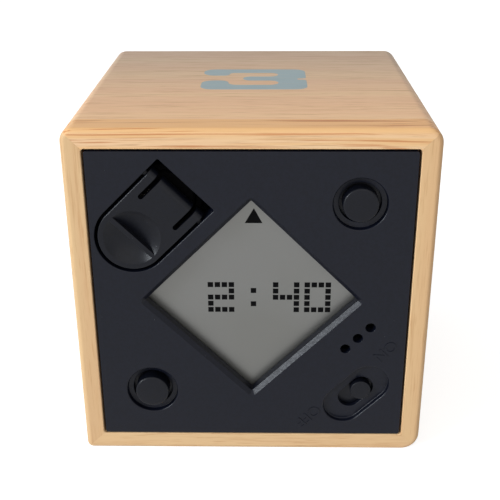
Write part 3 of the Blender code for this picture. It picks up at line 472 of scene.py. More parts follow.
class Nodes:
    """Short ways to add and join shader nodes in one tree."""

    def __init__(self, tree: bpy.types.NodeTree) -> None:
        """Keep the tree that the nodes go into."""
        self.tree = tree

    def add(self, kind: str, inputs: dict | None = None, **settings) -> bpy.types.Node:
        """Add a node.

        Args:
            kind: Type of the node without its ShaderNode prefix.
            inputs: Values or sockets by input name or number.
            settings: Properties of the node.

        Returns:
            The new node.
        """
        node = self.tree.nodes.new(f"ShaderNode{kind}")
        for name, value in settings.items():
            setattr(node, name, value)
        self.give_all(node, inputs or {})
        return node

    def give(self, socket: Socket, value: Feed) -> None:
        """Link a socket to an input, or set the input's value.

        Args:
            socket: The input.
            value: A socket to link, or a number, a vector or a colour.
        """
        if isinstance(value, Socket):
            self.tree.links.new(value, socket)
        elif isinstance(value, tuple) and len(value) == 3 and socket.type == "RGBA":
            socket.default_value = (*value, 1.0)
        else:
            socket.default_value = value

    def give_all(self, node: bpy.types.Node, values: dict) -> None:
        """Link or set several inputs of a node, by name or number."""
        for key, value in values.items():
            self.give(node.inputs[key], value)

    def math(self, operation: str, first: Feed, second: Feed = 0.0, third: Feed = 0.0) -> Socket:
        """Add a Math node and give its result."""
        node = self.add("Math", {0: first, 1: second, 2: third}, operation=operation)
        return node.outputs[0]

    def span(
        self, value: Feed, low: float, high: float, to_low: float = 0.0, to_high: float = 1.0
    ) -> Socket:
        """Map a value smoothly from one range to another, clamped.

        Args:
            value: The value.
            low: Start of its range.
            high: End of its range.
            to_low: What the start becomes.
            to_high: What the end becomes.

        Returns:
            The mapped value.
        """
        node = self.add(
            "MapRange",
            {"Value": value, "From Min": low, "From Max": high, "To Min": to_low, "To Max": to_high},
            interpolation_type="SMOOTHSTEP",
        )
        return node.outputs[0]

    def mix(self, factor: Feed, first: Feed, second: Feed, blend: str = "MIX") -> Socket:
        """Mix two colours.

        Args:
            factor: Share of the second colour.
            first: The first colour.
            second: The second colour.
            blend: How they mix.

        Returns:
            The mixed colour.
        """
        node = self.add("Mix", {0: factor}, data_type="RGBA", blend_type=blend)
        self.give_all(node, {6: first, 7: second})
        return node.outputs[2]

    def noise(self, vector: Feed, scale: Feed, detail: float = 2.0, roughness: float = 0.5) -> Socket:
        """Add a Noise Texture and give its value."""
        values = {"Vector": vector, "Scale": scale, "Detail": detail, "Roughness": roughness}
        return self.add("TexNoise", values).outputs["Fac"]

    def place(self, turn: Triple = (0, 0, 0), move: Triple = (0, 0, 0)) -> Socket:
        """Give Object coordinates, turned and moved by a Mapping node."""
        source = self.add("TexCoord").outputs["Object"]
        return self.add("Mapping", {"Vector": source, "Rotation": turn, "Location": move}).outputs[0]

    def group(self, name: str, inputs: dict) -> Mapping:
        """Add a node group.

        Args:
            name: Name of the group.
            inputs: Values or sockets by input name.

        Returns:
            The outputs of the group's node, by name or number.
        """
        node = self.tree.nodes.new("ShaderNodeGroup")
        node.node_tree = bpy.data.node_groups[name]
        self.give_all(node, inputs)
        return node.outputs

    def bump(self, height: Feed, distance: float, strength: float = 0.5) -> Socket:
        """Add a Bump node and give its normal."""
        node = self.add("Bump", {"Height": height, "Distance": distance, "Strength": strength})
        return node.outputs[0]


def new_group(
    name: str, inputs: dict[str, str], outputs: Sequence[str]
) -> tuple[Nodes, Mapping, bpy.types.Node]:
    """Start a shader node group.

    Args:
        name: Name of the group.
        inputs: Socket types by input name.
        outputs: Names of the outputs, which are all floats.

    Returns:
        The node helper for the group's tree, the sockets of its inputs and its output node.
    """
    tree = bpy.data.node_groups.new(name, "ShaderNodeTree")
    for key, kind in inputs.items():
        tree.interface.new_socket(key, in_out="INPUT", socket_type=f"NodeSocket{kind}")
    for key in outputs:
        tree.interface.new_socket(key, in_out="OUTPUT", socket_type="NodeSocketFloat")
    return Nodes(tree), tree.nodes.new("NodeGroupInput").outputs, tree.nodes.new("NodeGroupOutput")


class Effects:
    """Node groups that several finishes share."""

    TIMBER = "Timber figure"
    MOULDED = "Moulded texture"
    DUST = "Dust"
    SWAY = 0.9
    SWAYS_PER_METRE = 22.0
    FAR_SHARE = 0.35
    MOTTLE_SHARE = 0.22
    SPECK_SHARE = 0.16

    @classmethod
    def build(cls) -> None:
        """Build all the groups."""
        cls.timber()
        cls.moulded()
        cls.dust()

    @classmethod
    def timber(cls) -> None:
        """Build the figure of wood whose length lies along x: bands, lines, pores, glow and streaks. The glow
        is a slow noise that the top board uses to vary its painted edge highlight and the edge of its strip.

        The coordinates are brought to millimetres, and the length is pressed together by Stretch.
        """
        outputs = ("Bands", "Lines", "Pores", "Glow", "Streaks")
        nodes, given, result = new_group(cls.TIMBER, {"Vector": "Vector", "Stretch": "Float"}, outputs)
        parts = nodes.add("SeparateXYZ", {0: given["Vector"]}).outputs
        drift = nodes.noise(given["Vector"], cls.SWAYS_PER_METRE, 1.0)
        along = nodes.math("DIVIDE", nodes.math("DIVIDE", parts[0], MM), given["Stretch"])
        sway = nodes.math("MULTIPLY_ADD", drift, 2 * cls.SWAY, -cls.SWAY)
        across = [nodes.math("ADD", nodes.math("DIVIDE", part, MM), sway) for part in parts[1:]]
        near = nodes.add("CombineXYZ", {0: along, 1: across[0], 2: across[1]}).outputs[0]
        longer = nodes.math("MULTIPLY", along, cls.FAR_SHARE)
        far = nodes.add("CombineXYZ", {0: longer, 1: across[0], 2: across[1]}).outputs[0]
        nodes.give_all(result, {
            "Bands": nodes.noise(near, 0.16, 2.0, 0.5),
            "Lines": nodes.noise(near, 1.3, 4.0, 0.75),
            "Pores": nodes.noise(near, 3.6, 2.0, 0.6),
            "Glow": nodes.noise(far, 0.8, 1.0, 0.5),
            "Streaks": nodes.noise(far, 2.1, 2.0, 0.55),
        })

    @classmethod
    def moulded(cls) -> None:
        """Build the fine spark-eroded texture of moulded plastic."""
        inputs = {"Vector": "Vector", "Grain": "Float"}
        nodes, given, result = new_group(cls.MOULDED, inputs, ("Mottle", "Height"))
        per_metre = nodes.math("DIVIDE", 1.0, given["Grain"])
        height = nodes.noise(given["Vector"], per_metre, 2.0, 0.6)
        slower = nodes.math("MULTIPLY", per_metre, cls.MOTTLE_SHARE)
        mottle = nodes.noise(given["Vector"], slower, 3.0, 0.6)
        nodes.give_all(result, {"Mottle": mottle, "Height": height})

    @classmethod
    def dust(cls) -> None:
        """Build sparse pale specks, each of its own size."""
        inputs = {"Vector": "Vector", "Pitch": "Float", "Share": "Float"}
        nodes, given, result = new_group(cls.DUST, inputs, ("Specks",))
        per_metre = nodes.math("DIVIDE", 1.0, given["Pitch"])
        cells = nodes.add("TexVoronoi", {"Vector": given["Vector"], "Scale": per_metre}).outputs
        chance = nodes.add("SeparateColor", {0: cells["Color"]}).outputs
        size = nodes.math("MULTIPLY", chance[1], cls.SPECK_SHARE)
        near = nodes.math("LESS_THAN", cells["Distance"], size)
        picked = nodes.math("LESS_THAN", chance[0], given["Share"])
        nodes.give(result.inputs["Specks"], nodes.math("MULTIPLY", near, picked))


class Finish:
    """A material with a Principled BSDF, as the base of every finish."""

    roughness: float
    swing: Span

    def start(self, name: str, **constants) -> tuple[bpy.types.Material, Nodes, bpy.types.Node]:
        """Start a material.

        Args:
            name: Name of the material.
            constants: Values for the shader's own sockets, by name with _ for a space.

        Returns:
            The material, its node helper and its shader.
        """
        material = bpy.data.materials.new(name)
        material.use_nodes = True
        nodes = Nodes(material.node_tree)
        shader = material.node_tree.nodes["Principled BSDF"]
        for key, value in constants.items():
            nodes.give(shader.inputs[key.replace("_", " ")], value)
        return material, nodes, shader

    def rough(self, nodes: Nodes, noise: Socket, values: Span = NOISE_RANGE) -> Socket:
        """Let the roughness swing about its usual value with a noise."""
        return nodes.span(noise, *values, *(self.roughness + step for step in self.swing))


@dataclass(frozen=True)
class Timber(Finish):
    """Light wood with fine lines along its length."""

    name: str
    pale: Colour = srgb(226, 193, 147)
    rosy: Colour = srgb(221, 182, 139)
    line: Colour = srgb(184, 132, 86)
    length_turn: Triple = (0, 0, 0)
    seed: float = 0.0
    roughness: float = 0.42
    swing: Span = (-0.05, 0.08)
    gloss: float = 0.1
    stretch: float = 28.0
    band_range: Span = (0.36, 0.64)
    line_range: Span = (0.5, 0.7)
    line_share: float = 0.42
    pore_range: Span = (0.56, 0.74)
    pore_share: float = 0.4
    grain_depth: float = 0.02 * MM

    def make(self) -> bpy.types.Material:
        """Make the material.

        Returns:
            The material.
        """
        material, nodes, shader = self.start(self.name, Specular_IOR_Level=self.gloss)
        vector = nodes.place(self.length_turn, (self.seed, 0, 0))
        figure = nodes.group(Effects.TIMBER, {"Vector": vector, "Stretch": self.stretch})
        colour = nodes.mix(nodes.span(figure["Bands"], *self.band_range), self.pale, self.rosy)
        lines = nodes.span(figure["Lines"], *self.line_range, 0.0, self.line_share)
        colour = nodes.mix(lines, colour, self.line)
        pores = nodes.span(figure["Pores"], *self.pore_range, 0.0, self.pore_share)
        # The top board's override adds painted shade, a painted highlight and real streaks.
        colour = self.painted_light_and_streaks(nodes, figure, nodes.mix(pores, colour, self.line))
        rough = self.rough(nodes, figure["Lines"])
        bump = nodes.bump(figure["Lines"], self.grain_depth)
        nodes.give_all(shader, {"Base Color": colour, "Roughness": rough, "Normal": bump})
        return material

    def painted_light_and_streaks(self, nodes: Nodes, figure: Mapping, colour: Socket) -> Socket:
        """Leave the wood's colour as it is."""
        return colour


@dataclass(frozen=True)
class StreakedTimber(Timber):
    """Wood of the top board: painted shade darker to the back and on the front face, an orange strip that is
    partly edge lamination and partly painted highlight, a painted highlight on the front edge, and streaks at
    the front.
    """

    front: float = 0.0
    top: float = 0.0
    # Painted shade: the top is multiplied darker towards the back over this run, where the light falls off.
    back_painted_shade: Colour = (0.58, 0.66, 0.82)
    painted_shade_run: float = 80.0 * MM
    # Painted shade: the front face of the top board is multiplied darker within this run.
    face: Colour = (0.89, 0.94, 0.97)
    front_face_shade_run: float = 1.4 * MM
    # Colour of the orange strip at the front of the top, which is partly the board's edge lamination and
    # partly a painted highlight, and of the painted highlight on the rounded front edge.
    glow: Colour = srgb(243, 190, 132)
    strip: float = 6.8 * MM
    strip_fade: float = 0.7 * MM
    strip_lamination_and_highlight_share: float = 0.9
    wander: float = 1.6 * MM
    upper_range: Span = (1.6 * MM, 0.4 * MM)
    edge_range: Span = (2.4 * MM, 0.8 * MM)
    edge_share: float = 0.75
    painted_highlight_range: Span = (0.5, 0.62)
    streak: Colour = srgb(190, 112, 62)
    streak_range: Span = (0.55, 0.62)
    streak_share: float = 0.8

    def painted_light_and_streaks(self, nodes: Nodes, figure: Mapping, colour: Socket) -> Socket:
        """Add the painted shade to the back and on the front face, the strip and the painted highlight of the
        front edge, and the streaks.

        Args:
            nodes: The node helper of the material.
            figure: The figure of the wood.
            colour: The plain colour of the wood.

        Returns:
            The colour with all of them.
        """
        parts = nodes.add("SeparateXYZ", {0: nodes.add("TexCoord").outputs["Object"]}).outputs
        # Painted shade: darker towards the back, where the light falls off.
        back = nodes.span(parts[1], self.front, self.front + self.painted_shade_run)
        colour = nodes.mix(back, colour, self.back_painted_shade, "MULTIPLY")
        wander = nodes.math("MULTIPLY_ADD", figure["Glow"], self.wander, -self.wander / 2)
        depth = nodes.math("ADD", nodes.math("SUBTRACT", parts[1], self.front), wander)
        # The strip is partly edge lamination and partly a painted highlight of the lit front edge.
        upper = nodes.span(parts[2], *(self.top - drop for drop in self.upper_range))
        strip = nodes.math("MULTIPLY", upper, nodes.span(depth, self.strip, self.strip - self.strip_fade))
        # Painted highlight: the rounded front edge is painted a lighter orange where light catches it.
        edge = nodes.math("MULTIPLY", nodes.span(depth, *self.edge_range), self.edge_share)
        painted_edge_highlight = nodes.math("MULTIPLY", edge, nodes.span(figure["Glow"], *self.painted_highlight_range))
        glow = nodes.math("MAXIMUM", nodes.math("MULTIPLY", strip, self.strip_lamination_and_highlight_share), painted_edge_highlight)
        # Painted shade on the front face, laid over the strip and the painted highlight.
        face = nodes.span(parts[1], self.front + self.front_face_shade_run, self.front)
        colour = nodes.mix(face, nodes.mix(glow, colour, self.glow), self.face, "MULTIPLY")
        streaks = nodes.span(figure["Streaks"], *self.streak_range, 0.0, self.streak_share)
        zone = nodes.math("MULTIPLY", nodes.math("MAXIMUM", strip, edge), streaks)
        return nodes.mix(zone, colour, self.streak)


@dataclass(frozen=True)
class Ink(Finish):
    """Thin ink printed on wood, whose lines show through it faintly."""

    name: str
    colour: Colour = srgb(152, 170, 174)
    worn: Colour = srgb(176, 176, 160)
    worn_range: Span = (0.48, 0.75)
    worn_share: float = 0.6
    roughness: float = 0.5
    swing: Span = (-0.05, 0.1)
    gloss: float = 0.3
    stretch: float = 28.0
    grain_depth: float = 0.015 * MM

    def make(self) -> bpy.types.Material:
        """Make the material.

        Returns:
            The material.
        """
        material, nodes, shader = self.start(self.name, Specular_IOR_Level=self.gloss)
        figure = nodes.group(Effects.TIMBER, {"Vector": nodes.place(), "Stretch": self.stretch})
        grain = nodes.span(figure["Lines"], *self.worn_range, 0.0, self.worn_share)
        colour = nodes.mix(grain, self.colour, self.worn)
        rough = self.rough(nodes, figure["Pores"])
        bump = nodes.bump(figure["Lines"], self.grain_depth)
        nodes.give_all(shader, {"Base Color": colour, "Roughness": rough, "Normal": bump})
        return material


@dataclass(frozen=True)
class Plastic(Finish):
    """Moulded plastic with a fine texture, a slow mottle and a little dust."""

    name: str
    colour: Colour
    mottled: Colour
    roughness: float = 0.42
    gloss: float = 0.3
    grain: float = 0.12 * MM
    depth: float = 0.008 * MM
    dust: float = 0.0
    dust_pitch: float = 0.55 * MM
    dust_colour: Colour = srgb(98, 101, 108)
    swing: Span = (-0.04, 0.06)
    mottle_range: Span = (0.35, 0.65)
    bump_strength: float = 0.6

    def make(self) -> bpy.types.Material:
        """Make the material.

        Returns:
            The material.
        """
        material, nodes, shader = self.start(self.name, Specular_IOR_Level=self.gloss)
        vector = nodes.place()
        texture = nodes.group(Effects.MOULDED, {"Vector": vector, "Grain": self.grain})
        colour = nodes.mix(nodes.span(texture["Mottle"], *self.mottle_range), self.colour, self.mottled)
        rough = self.rough(nodes, texture["Mottle"])
        if self.dust:
            given = {"Vector": vector, "Pitch": self.dust_pitch, "Share": self.dust}
            colour = nodes.mix(nodes.group(Effects.DUST, given)["Specks"], colour, self.dust_colour)
        bump = nodes.bump(texture["Height"], self.depth, self.bump_strength)
        nodes.give_all(shader, {"Base Color": colour, "Roughness": rough, "Normal": bump})
        return material


@dataclass(frozen=True)
class Metal(Finish):
    """Bare or plated metal with faint tarnish."""

    name: str
    colour: Colour
    tarnish: Colour
    roughness: float = 0.25
    swing: Span = (-0.05, 0.15)
    patch: float = 1.5 * MM
    tarnish_range: Span = (0.4, 0.75)
    tarnish_share: float = 0.7
    scuff: float = 1.5 * MM / 8
    scuff_range: Span = (0.3, 0.75)
    scuff_depth: float = 0.004 * MM

    def make(self) -> bpy.types.Material:
        """Make the material.

        Returns:
            The material.
        """
        material, nodes, shader = self.start(self.name, Metallic=1.0)
        vector = nodes.place()
        patches = nodes.noise(vector, 1 / self.patch, 4.0, 0.6)
        scuffs = nodes.noise(vector, 1 / self.scuff, 2.0, 0.6)
        dull = nodes.span(patches, *self.tarnish_range, 0.0, self.tarnish_share)
        colour = nodes.mix(dull, self.colour, self.tarnish)
        rough = self.rough(nodes, scuffs, self.scuff_range)
        bump = nodes.bump(scuffs, self.scuff_depth)
        nodes.give_all(shader, {"Base Color": colour, "Roughness": rough, "Normal": bump})
        return material


@dataclass(frozen=True)
class DisplayFilm(Finish):
    """Grey film on the display, which shines dully like brushed foil under frosted plastic."""

    name: str = "display_film"
    colour: Colour = srgb(116, 116, 114)
    warm: Colour = srgb(113, 113, 110)
    roughness: float = 0.38
    swing: Span = (-0.03, 0.03)
    metallic: float = 0.85
    gloss: float = 0.3
    patches_per_metre: float = 60.0
    grains_per_metre: float = 9000.0

    def make(self) -> bpy.types.Material:
        """Make the material.

        Returns:
            The material.
        """
        material, nodes, shader = self.start(self.name, Metallic=self.metallic, Specular_IOR_Level=self.gloss)
        vector = nodes.place()
        slow = nodes.noise(vector, self.patches_per_metre, 1.0)
        fine = nodes.noise(vector, self.grains_per_metre, 2.0)
        colour = nodes.mix(nodes.span(slow, *NOISE_RANGE), self.colour, self.warm)
        rough = self.rough(nodes, fine)
        nodes.give_all(shader, {"Base Color": colour, "Roughness": rough})
        return material


@dataclass
class WoodenBox:
    """Box of four mitred boards with a back board and corner blocks."""

    setting: Setting
    skin: float = 0.03 * MM
    corner_radii: tuple[tuple[int, int, float], ...] = (
        (-1, 1, 2.6 * MM), (1, 1, 2.9 * MM), (-1, -1, 1.3 * MM), (1, -1, 3.6 * MM),
    )
    edge_radius: float = 1.1 * MM
    rim_radius: float = 0.22 * MM
    opening_radius: float = 0.6 * MM
    mitre: float = 0.012 * MM
    back_slit: float = 0.08 * MM
    back_radius: float = 0.25 * MM
    along_z: Triple = (0, QUARTER_TURN, 0)

    def block(self) -> bpy.types.Mesh:
        """Make the rounded block that the boards are cut from, in the face frame.

        Returns:
            The block.
        """
        half = self.setting.cube / 2 - self.skin
        bm = box((-half, -half, self.skin - self.setting.cube), (half, half, -self.skin))
        for right, up, radius in self.corner_radii:
            corner = [
                edge for edge in bm.edges
                if all(min(vert.co.x * right, vert.co.y * up) > half - WELD for vert in edge.verts)
            ]
            bevel(bm, corner, radius, 10, Rounding.EDGES)
        ends = [edge for edge in bm.edges if abs(edge.verts[0].co.z - edge.verts[1].co.z) < WELD]
        bevel(bm, ends, self.edge_radius, 8, Rounding.EDGES)
        return mesh_from(bm, "block")

    def cavity(self) -> bpy.types.Mesh:
        """Make the cutter of the room inside the boards, with a rounded rim at the front.

        Returns:
            The cutter.
        """
        outline = Bar.square(self.setting.cube / 2 - self.setting.board, self.opening_radius, 6)
        depth = -self.setting.cube - self.setting.board
        return mesh_from(outline.solid(flared(depth, -self.skin, self.rim_radius)), "cavity")

    def board(self, ring: bpy.types.Mesh, side: Side) -> bpy.types.Mesh:
        """Cut one board out of the ring along its mitres.

        Args:
            ring: The ring of boards.
            side: Which board.

        Returns:
            The board's mesh, in place.
        """
        bm = bmesh.new()
        bm.from_mesh(ring)
        turn = Matrix.Rotation(side.value * QUARTER_TURN, 4, "Z")
        bmesh.ops.transform(bm, matrix=turn.inverted(), verts=bm.verts)
        for sign in (-1, 1):
            normal = Vector((sign, -1, 0)).normalized()
            cut = bmesh.ops.bisect_plane(
                bm, geom=[*bm.verts, *bm.edges, *bm.faces], dist=WELD,
                plane_co=-normal * self.mitre / 2, plane_no=normal, clear_outer=True,
            )["geom_cut"]
            edges = [item for item in cut if isinstance(item, bmesh.types.BMEdge)]
            bmesh.ops.contextual_create(bm, geom=edges)
        return mesh_from(bm, "board", self.setting.face @ turn)

    def back(self) -> bpy.types.Mesh:
        """Make the back board with lightly rounded edges.

        Returns:
            The board's mesh, in place.
        """
        half = self.setting.cube / 2 - self.setting.board - self.back_slit
        outer = self.setting.cube - self.skin
        edge = arc(-self.back_radius, self.back_radius - outer, self.back_radius, -90, 0, 4)
        levels = [*((height, grow) for grow, height in edge), (self.setting.board - outer, 0.0)]
        bm = Bar.square(half, 2 * self.back_radius, 3).solid(levels)
        return mesh_from(bm, "back", self.setting.face)

    def finishes(self) -> dict[Side, Timber]:
        """Choose the wood of each board.

        Returns:
            The finishes by side.
        """
        return {
            Side.TOP: StreakedTimber(
                "wood_of_top", srgb(248, 205, 158), srgb(245, 197, 153), srgb(172, 118, 80),
                seed=0.31, front=self.setting.front, top=self.setting.cube,
            ),
            # Painted shade: the boards are lit and shaded copies of one wood, with colours fitted to the
            # light on each; the left board's are set darker to offset the key lamp's light on its edge.
            Side.LEFT: Timber(
                "wood_of_left_painted_darker", srgb(219, 185, 140), srgb(214, 175, 133), length_turn=self.along_z, seed=0.12
            ),
            Side.BOTTOM: Timber("wood_of_bottom", seed=0.57),
            Side.RIGHT: Timber(
                "wood_of_right", srgb(223, 188, 142), srgb(217, 177, 133), length_turn=self.along_z, seed=0.83
            ),
        }

    def build(self) -> None:
        """Build and dress the boards and the blocks."""
        ring = carved("ring", self.block(), [(Operation.CUT, self.cavity())])
        for side, finish in self.finishes().items():
            name = f"{side.name.lower()}_board"
            show(f"{name}_shaped", self.board(ring, side), finish.make(), "case", [name])
        bpy.data.meshes.remove(ring)
        back = Timber("wood_of_back", length_turn=self.along_z, seed=0.44).make()
        show("back_board_shaped", self.back(), back, "case", ["back_board"])
        blocks = Timber("wood_of_blocks", length_turn=self.along_z, seed=0.05).make()
        dress(blocks, numbered("corner_block", 4))


def numbered(name: str, count: int) -> list[str]:
    """List the names of pieces that are numbered from 1."""
    return [f"{name}_{number}" for number in range(1, count + 1)]


def dress(material: bpy.types.Material, names: Iterable[str]) -> None:
    """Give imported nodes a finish.

    Args:
        material: The finish.
        names: Names of the nodes.
    """
    for name in names:
        for slot in frame["nodes"][name].material_slots:
            slot.material = material
        log.info("%s: %s", name, material.name)


ALMOST_HALF = 0.48


@dataclass(frozen=True)
class Glyph:
    """A figure drawn as lettered cells of an uneven grid, in millimetres from the middle of a side.

    A dot is an empty cell. Cells with the same letter become one face, so a figure that closes on
    itself, such as a nought, takes two letters.
    """

    columns: tuple[float, ...]
    rows: tuple[float, ...]
    cells: tuple[str, ...]

    def letter(self, face: bmesh.types.BMFace) -> str:
        """Give the letter of the cell that a face of the plain grid lies in.

        Args:
            face: The face of a grid whose edges are 1 long, about the origin.

        Returns:
            The letter.
        """
        middle = face.calc_center_median()
        columns, rows = len(self.columns) - 1, len(self.rows) - 1
        column = int((middle.x + 0.5) * columns)
        row = int((middle.y + 0.5) * rows)
        return self.cells[rows - 1 - row][column]

    def face(self, offset: float, radius: float) -> bmesh.types.BMesh:
        """Draw the figure flat, with rounded corners.

        Args:
            offset: How far the figure moves along x, in metres.
            radius: Radius of the corners where the strokes have room for it.

        Returns:
            The flat figure.
        """
        bm = bmesh.new()
        columns, rows = len(self.columns) - 1, len(self.rows) - 1
        bmesh.ops.create_grid(bm, x_segments=columns, y_segments=rows, size=0.5)
        groups: dict[str, list] = {}
        for face in bm.faces:
            groups.setdefault(self.letter(face), []).append(face)
        bmesh.ops.delete(bm, geom=groups.pop(".", []), context="FACES")
        for vert in bm.verts:
            column = round((vert.co.x + 0.5) * columns)
            row = round((vert.co.y + 0.5) * rows)
            vert.co = (self.columns[column] * MM + offset, self.rows[row] * MM, 0)
        for faces in groups.values():
            bmesh.ops.dissolve_faces(bm, faces=faces)
        straight = [vert for vert in bm.verts if len(vert.link_edges) == 2 and vert.calc_edge_angle(0) < 0.01]
        bmesh.ops.dissolve_verts(bm, verts=straight)
        corners = [
            (vert, min(radius, ALMOST_HALF * min(edge.calc_length() for edge in vert.link_edges)))
            for vert in bm.verts if len(vert.link_edges) == 2
        ]
        for vert, room in corners:
            bevel(bm, [vert], room, 6)
        return bm


THREE = Glyph(
    columns=(-11.2, -5.4, -2.3, 5.4, 9.5, 11.5),
    rows=(-5.4, -1.5, 2.6, 3.3, 4.5, 6.3, 7.3, 9.9, 13.4),
    cells=("aaaaa", "a..aa", "...aa", "..aaa", "..aa.", "..aaa", "a..aa", "aaaaa"),
)
FIVE = Glyph(
    columns=(-11.2, -5.4, 5.4, 11.5),
    rows=(-5.4, -1.5, 1.2, 2.6, 6.3, 9.9, 13.4),
    cells=("aaa", "a..", "aaa", "..a", "a.a", "aaa"),
)
ONE = Glyph(
    columns=(-4.2, -2.8, 2.8),
    rows=(-5.4, 9.9, 13.4),
    cells=("aa", ".a"),
)
NOUGHT = Glyph(
    columns=(-11.2, -5.4, 0.0, 5.4, 11.5),
    rows=(-5.4, -1.5, 9.9, 13.4),
    cells=("aabb", "a..b", "aabb"),
)


@dataclass
class PrintedNumbers:
    """Numbers printed on the four sides of the box, one for each length of time."""

    setting: Setting
    thickness: float = 0.02 * MM
    sunk: float = 0.03 * MM
    corner: float = 2.6 * MM
    pitch: float = 15.0 * MM
    numbers: dict = field(default_factory=lambda: {
        Side.TOP: ("three", (THREE,)),
        Side.LEFT: ("five", (FIVE,)),
        Side.BOTTOM: ("ten", (ONE, NOUGHT)),
        Side.RIGHT: ("fifteen", (ONE, FIVE)),
    })

    def place(self, side: Side) -> Matrix:
        """Give the matrix from a figure's plane to its side of the box.

        Args:
            side: Which side.

        Returns:
            The matrix.
        """
        half = self.setting.cube / 2
        turn = Matrix.Rotation(-side.value * QUARTER_TURN, 4, "Y")
        return shift(0, 0, half) @ turn @ shift(0, 0, half - self.sunk)

    def number(self, glyphs: Sequence[Glyph]) -> bmesh.types.BMesh:
        """Draw a number from its figures, as a thin layer.

        Args:
            glyphs: The figures, from left to right.

        Returns:
            The number.
        """
        bm = bmesh.new()
        first = -self.pitch * (len(glyphs) - 1) / 2
        for index, glyph in enumerate(glyphs):
            drawn = glyph.face(first + index * self.pitch, self.corner)
            copy = bpy.data.meshes.new("figure")
            drawn.to_mesh(copy)
            drawn.free()
            bm.from_mesh(copy)
            bpy.data.meshes.remove(copy)
        return extruded(bm, (0, 0, self.thickness))

    def build(self) -> None:
        """Build and dress the numbers."""
        ink = Ink("number_ink").make()
        for side, (word, glyphs) in self.numbers.items():
            mesh = mesh_from(self.number(glyphs), word, self.place(side))
            show(f"number_{word}", mesh, ink, "case")


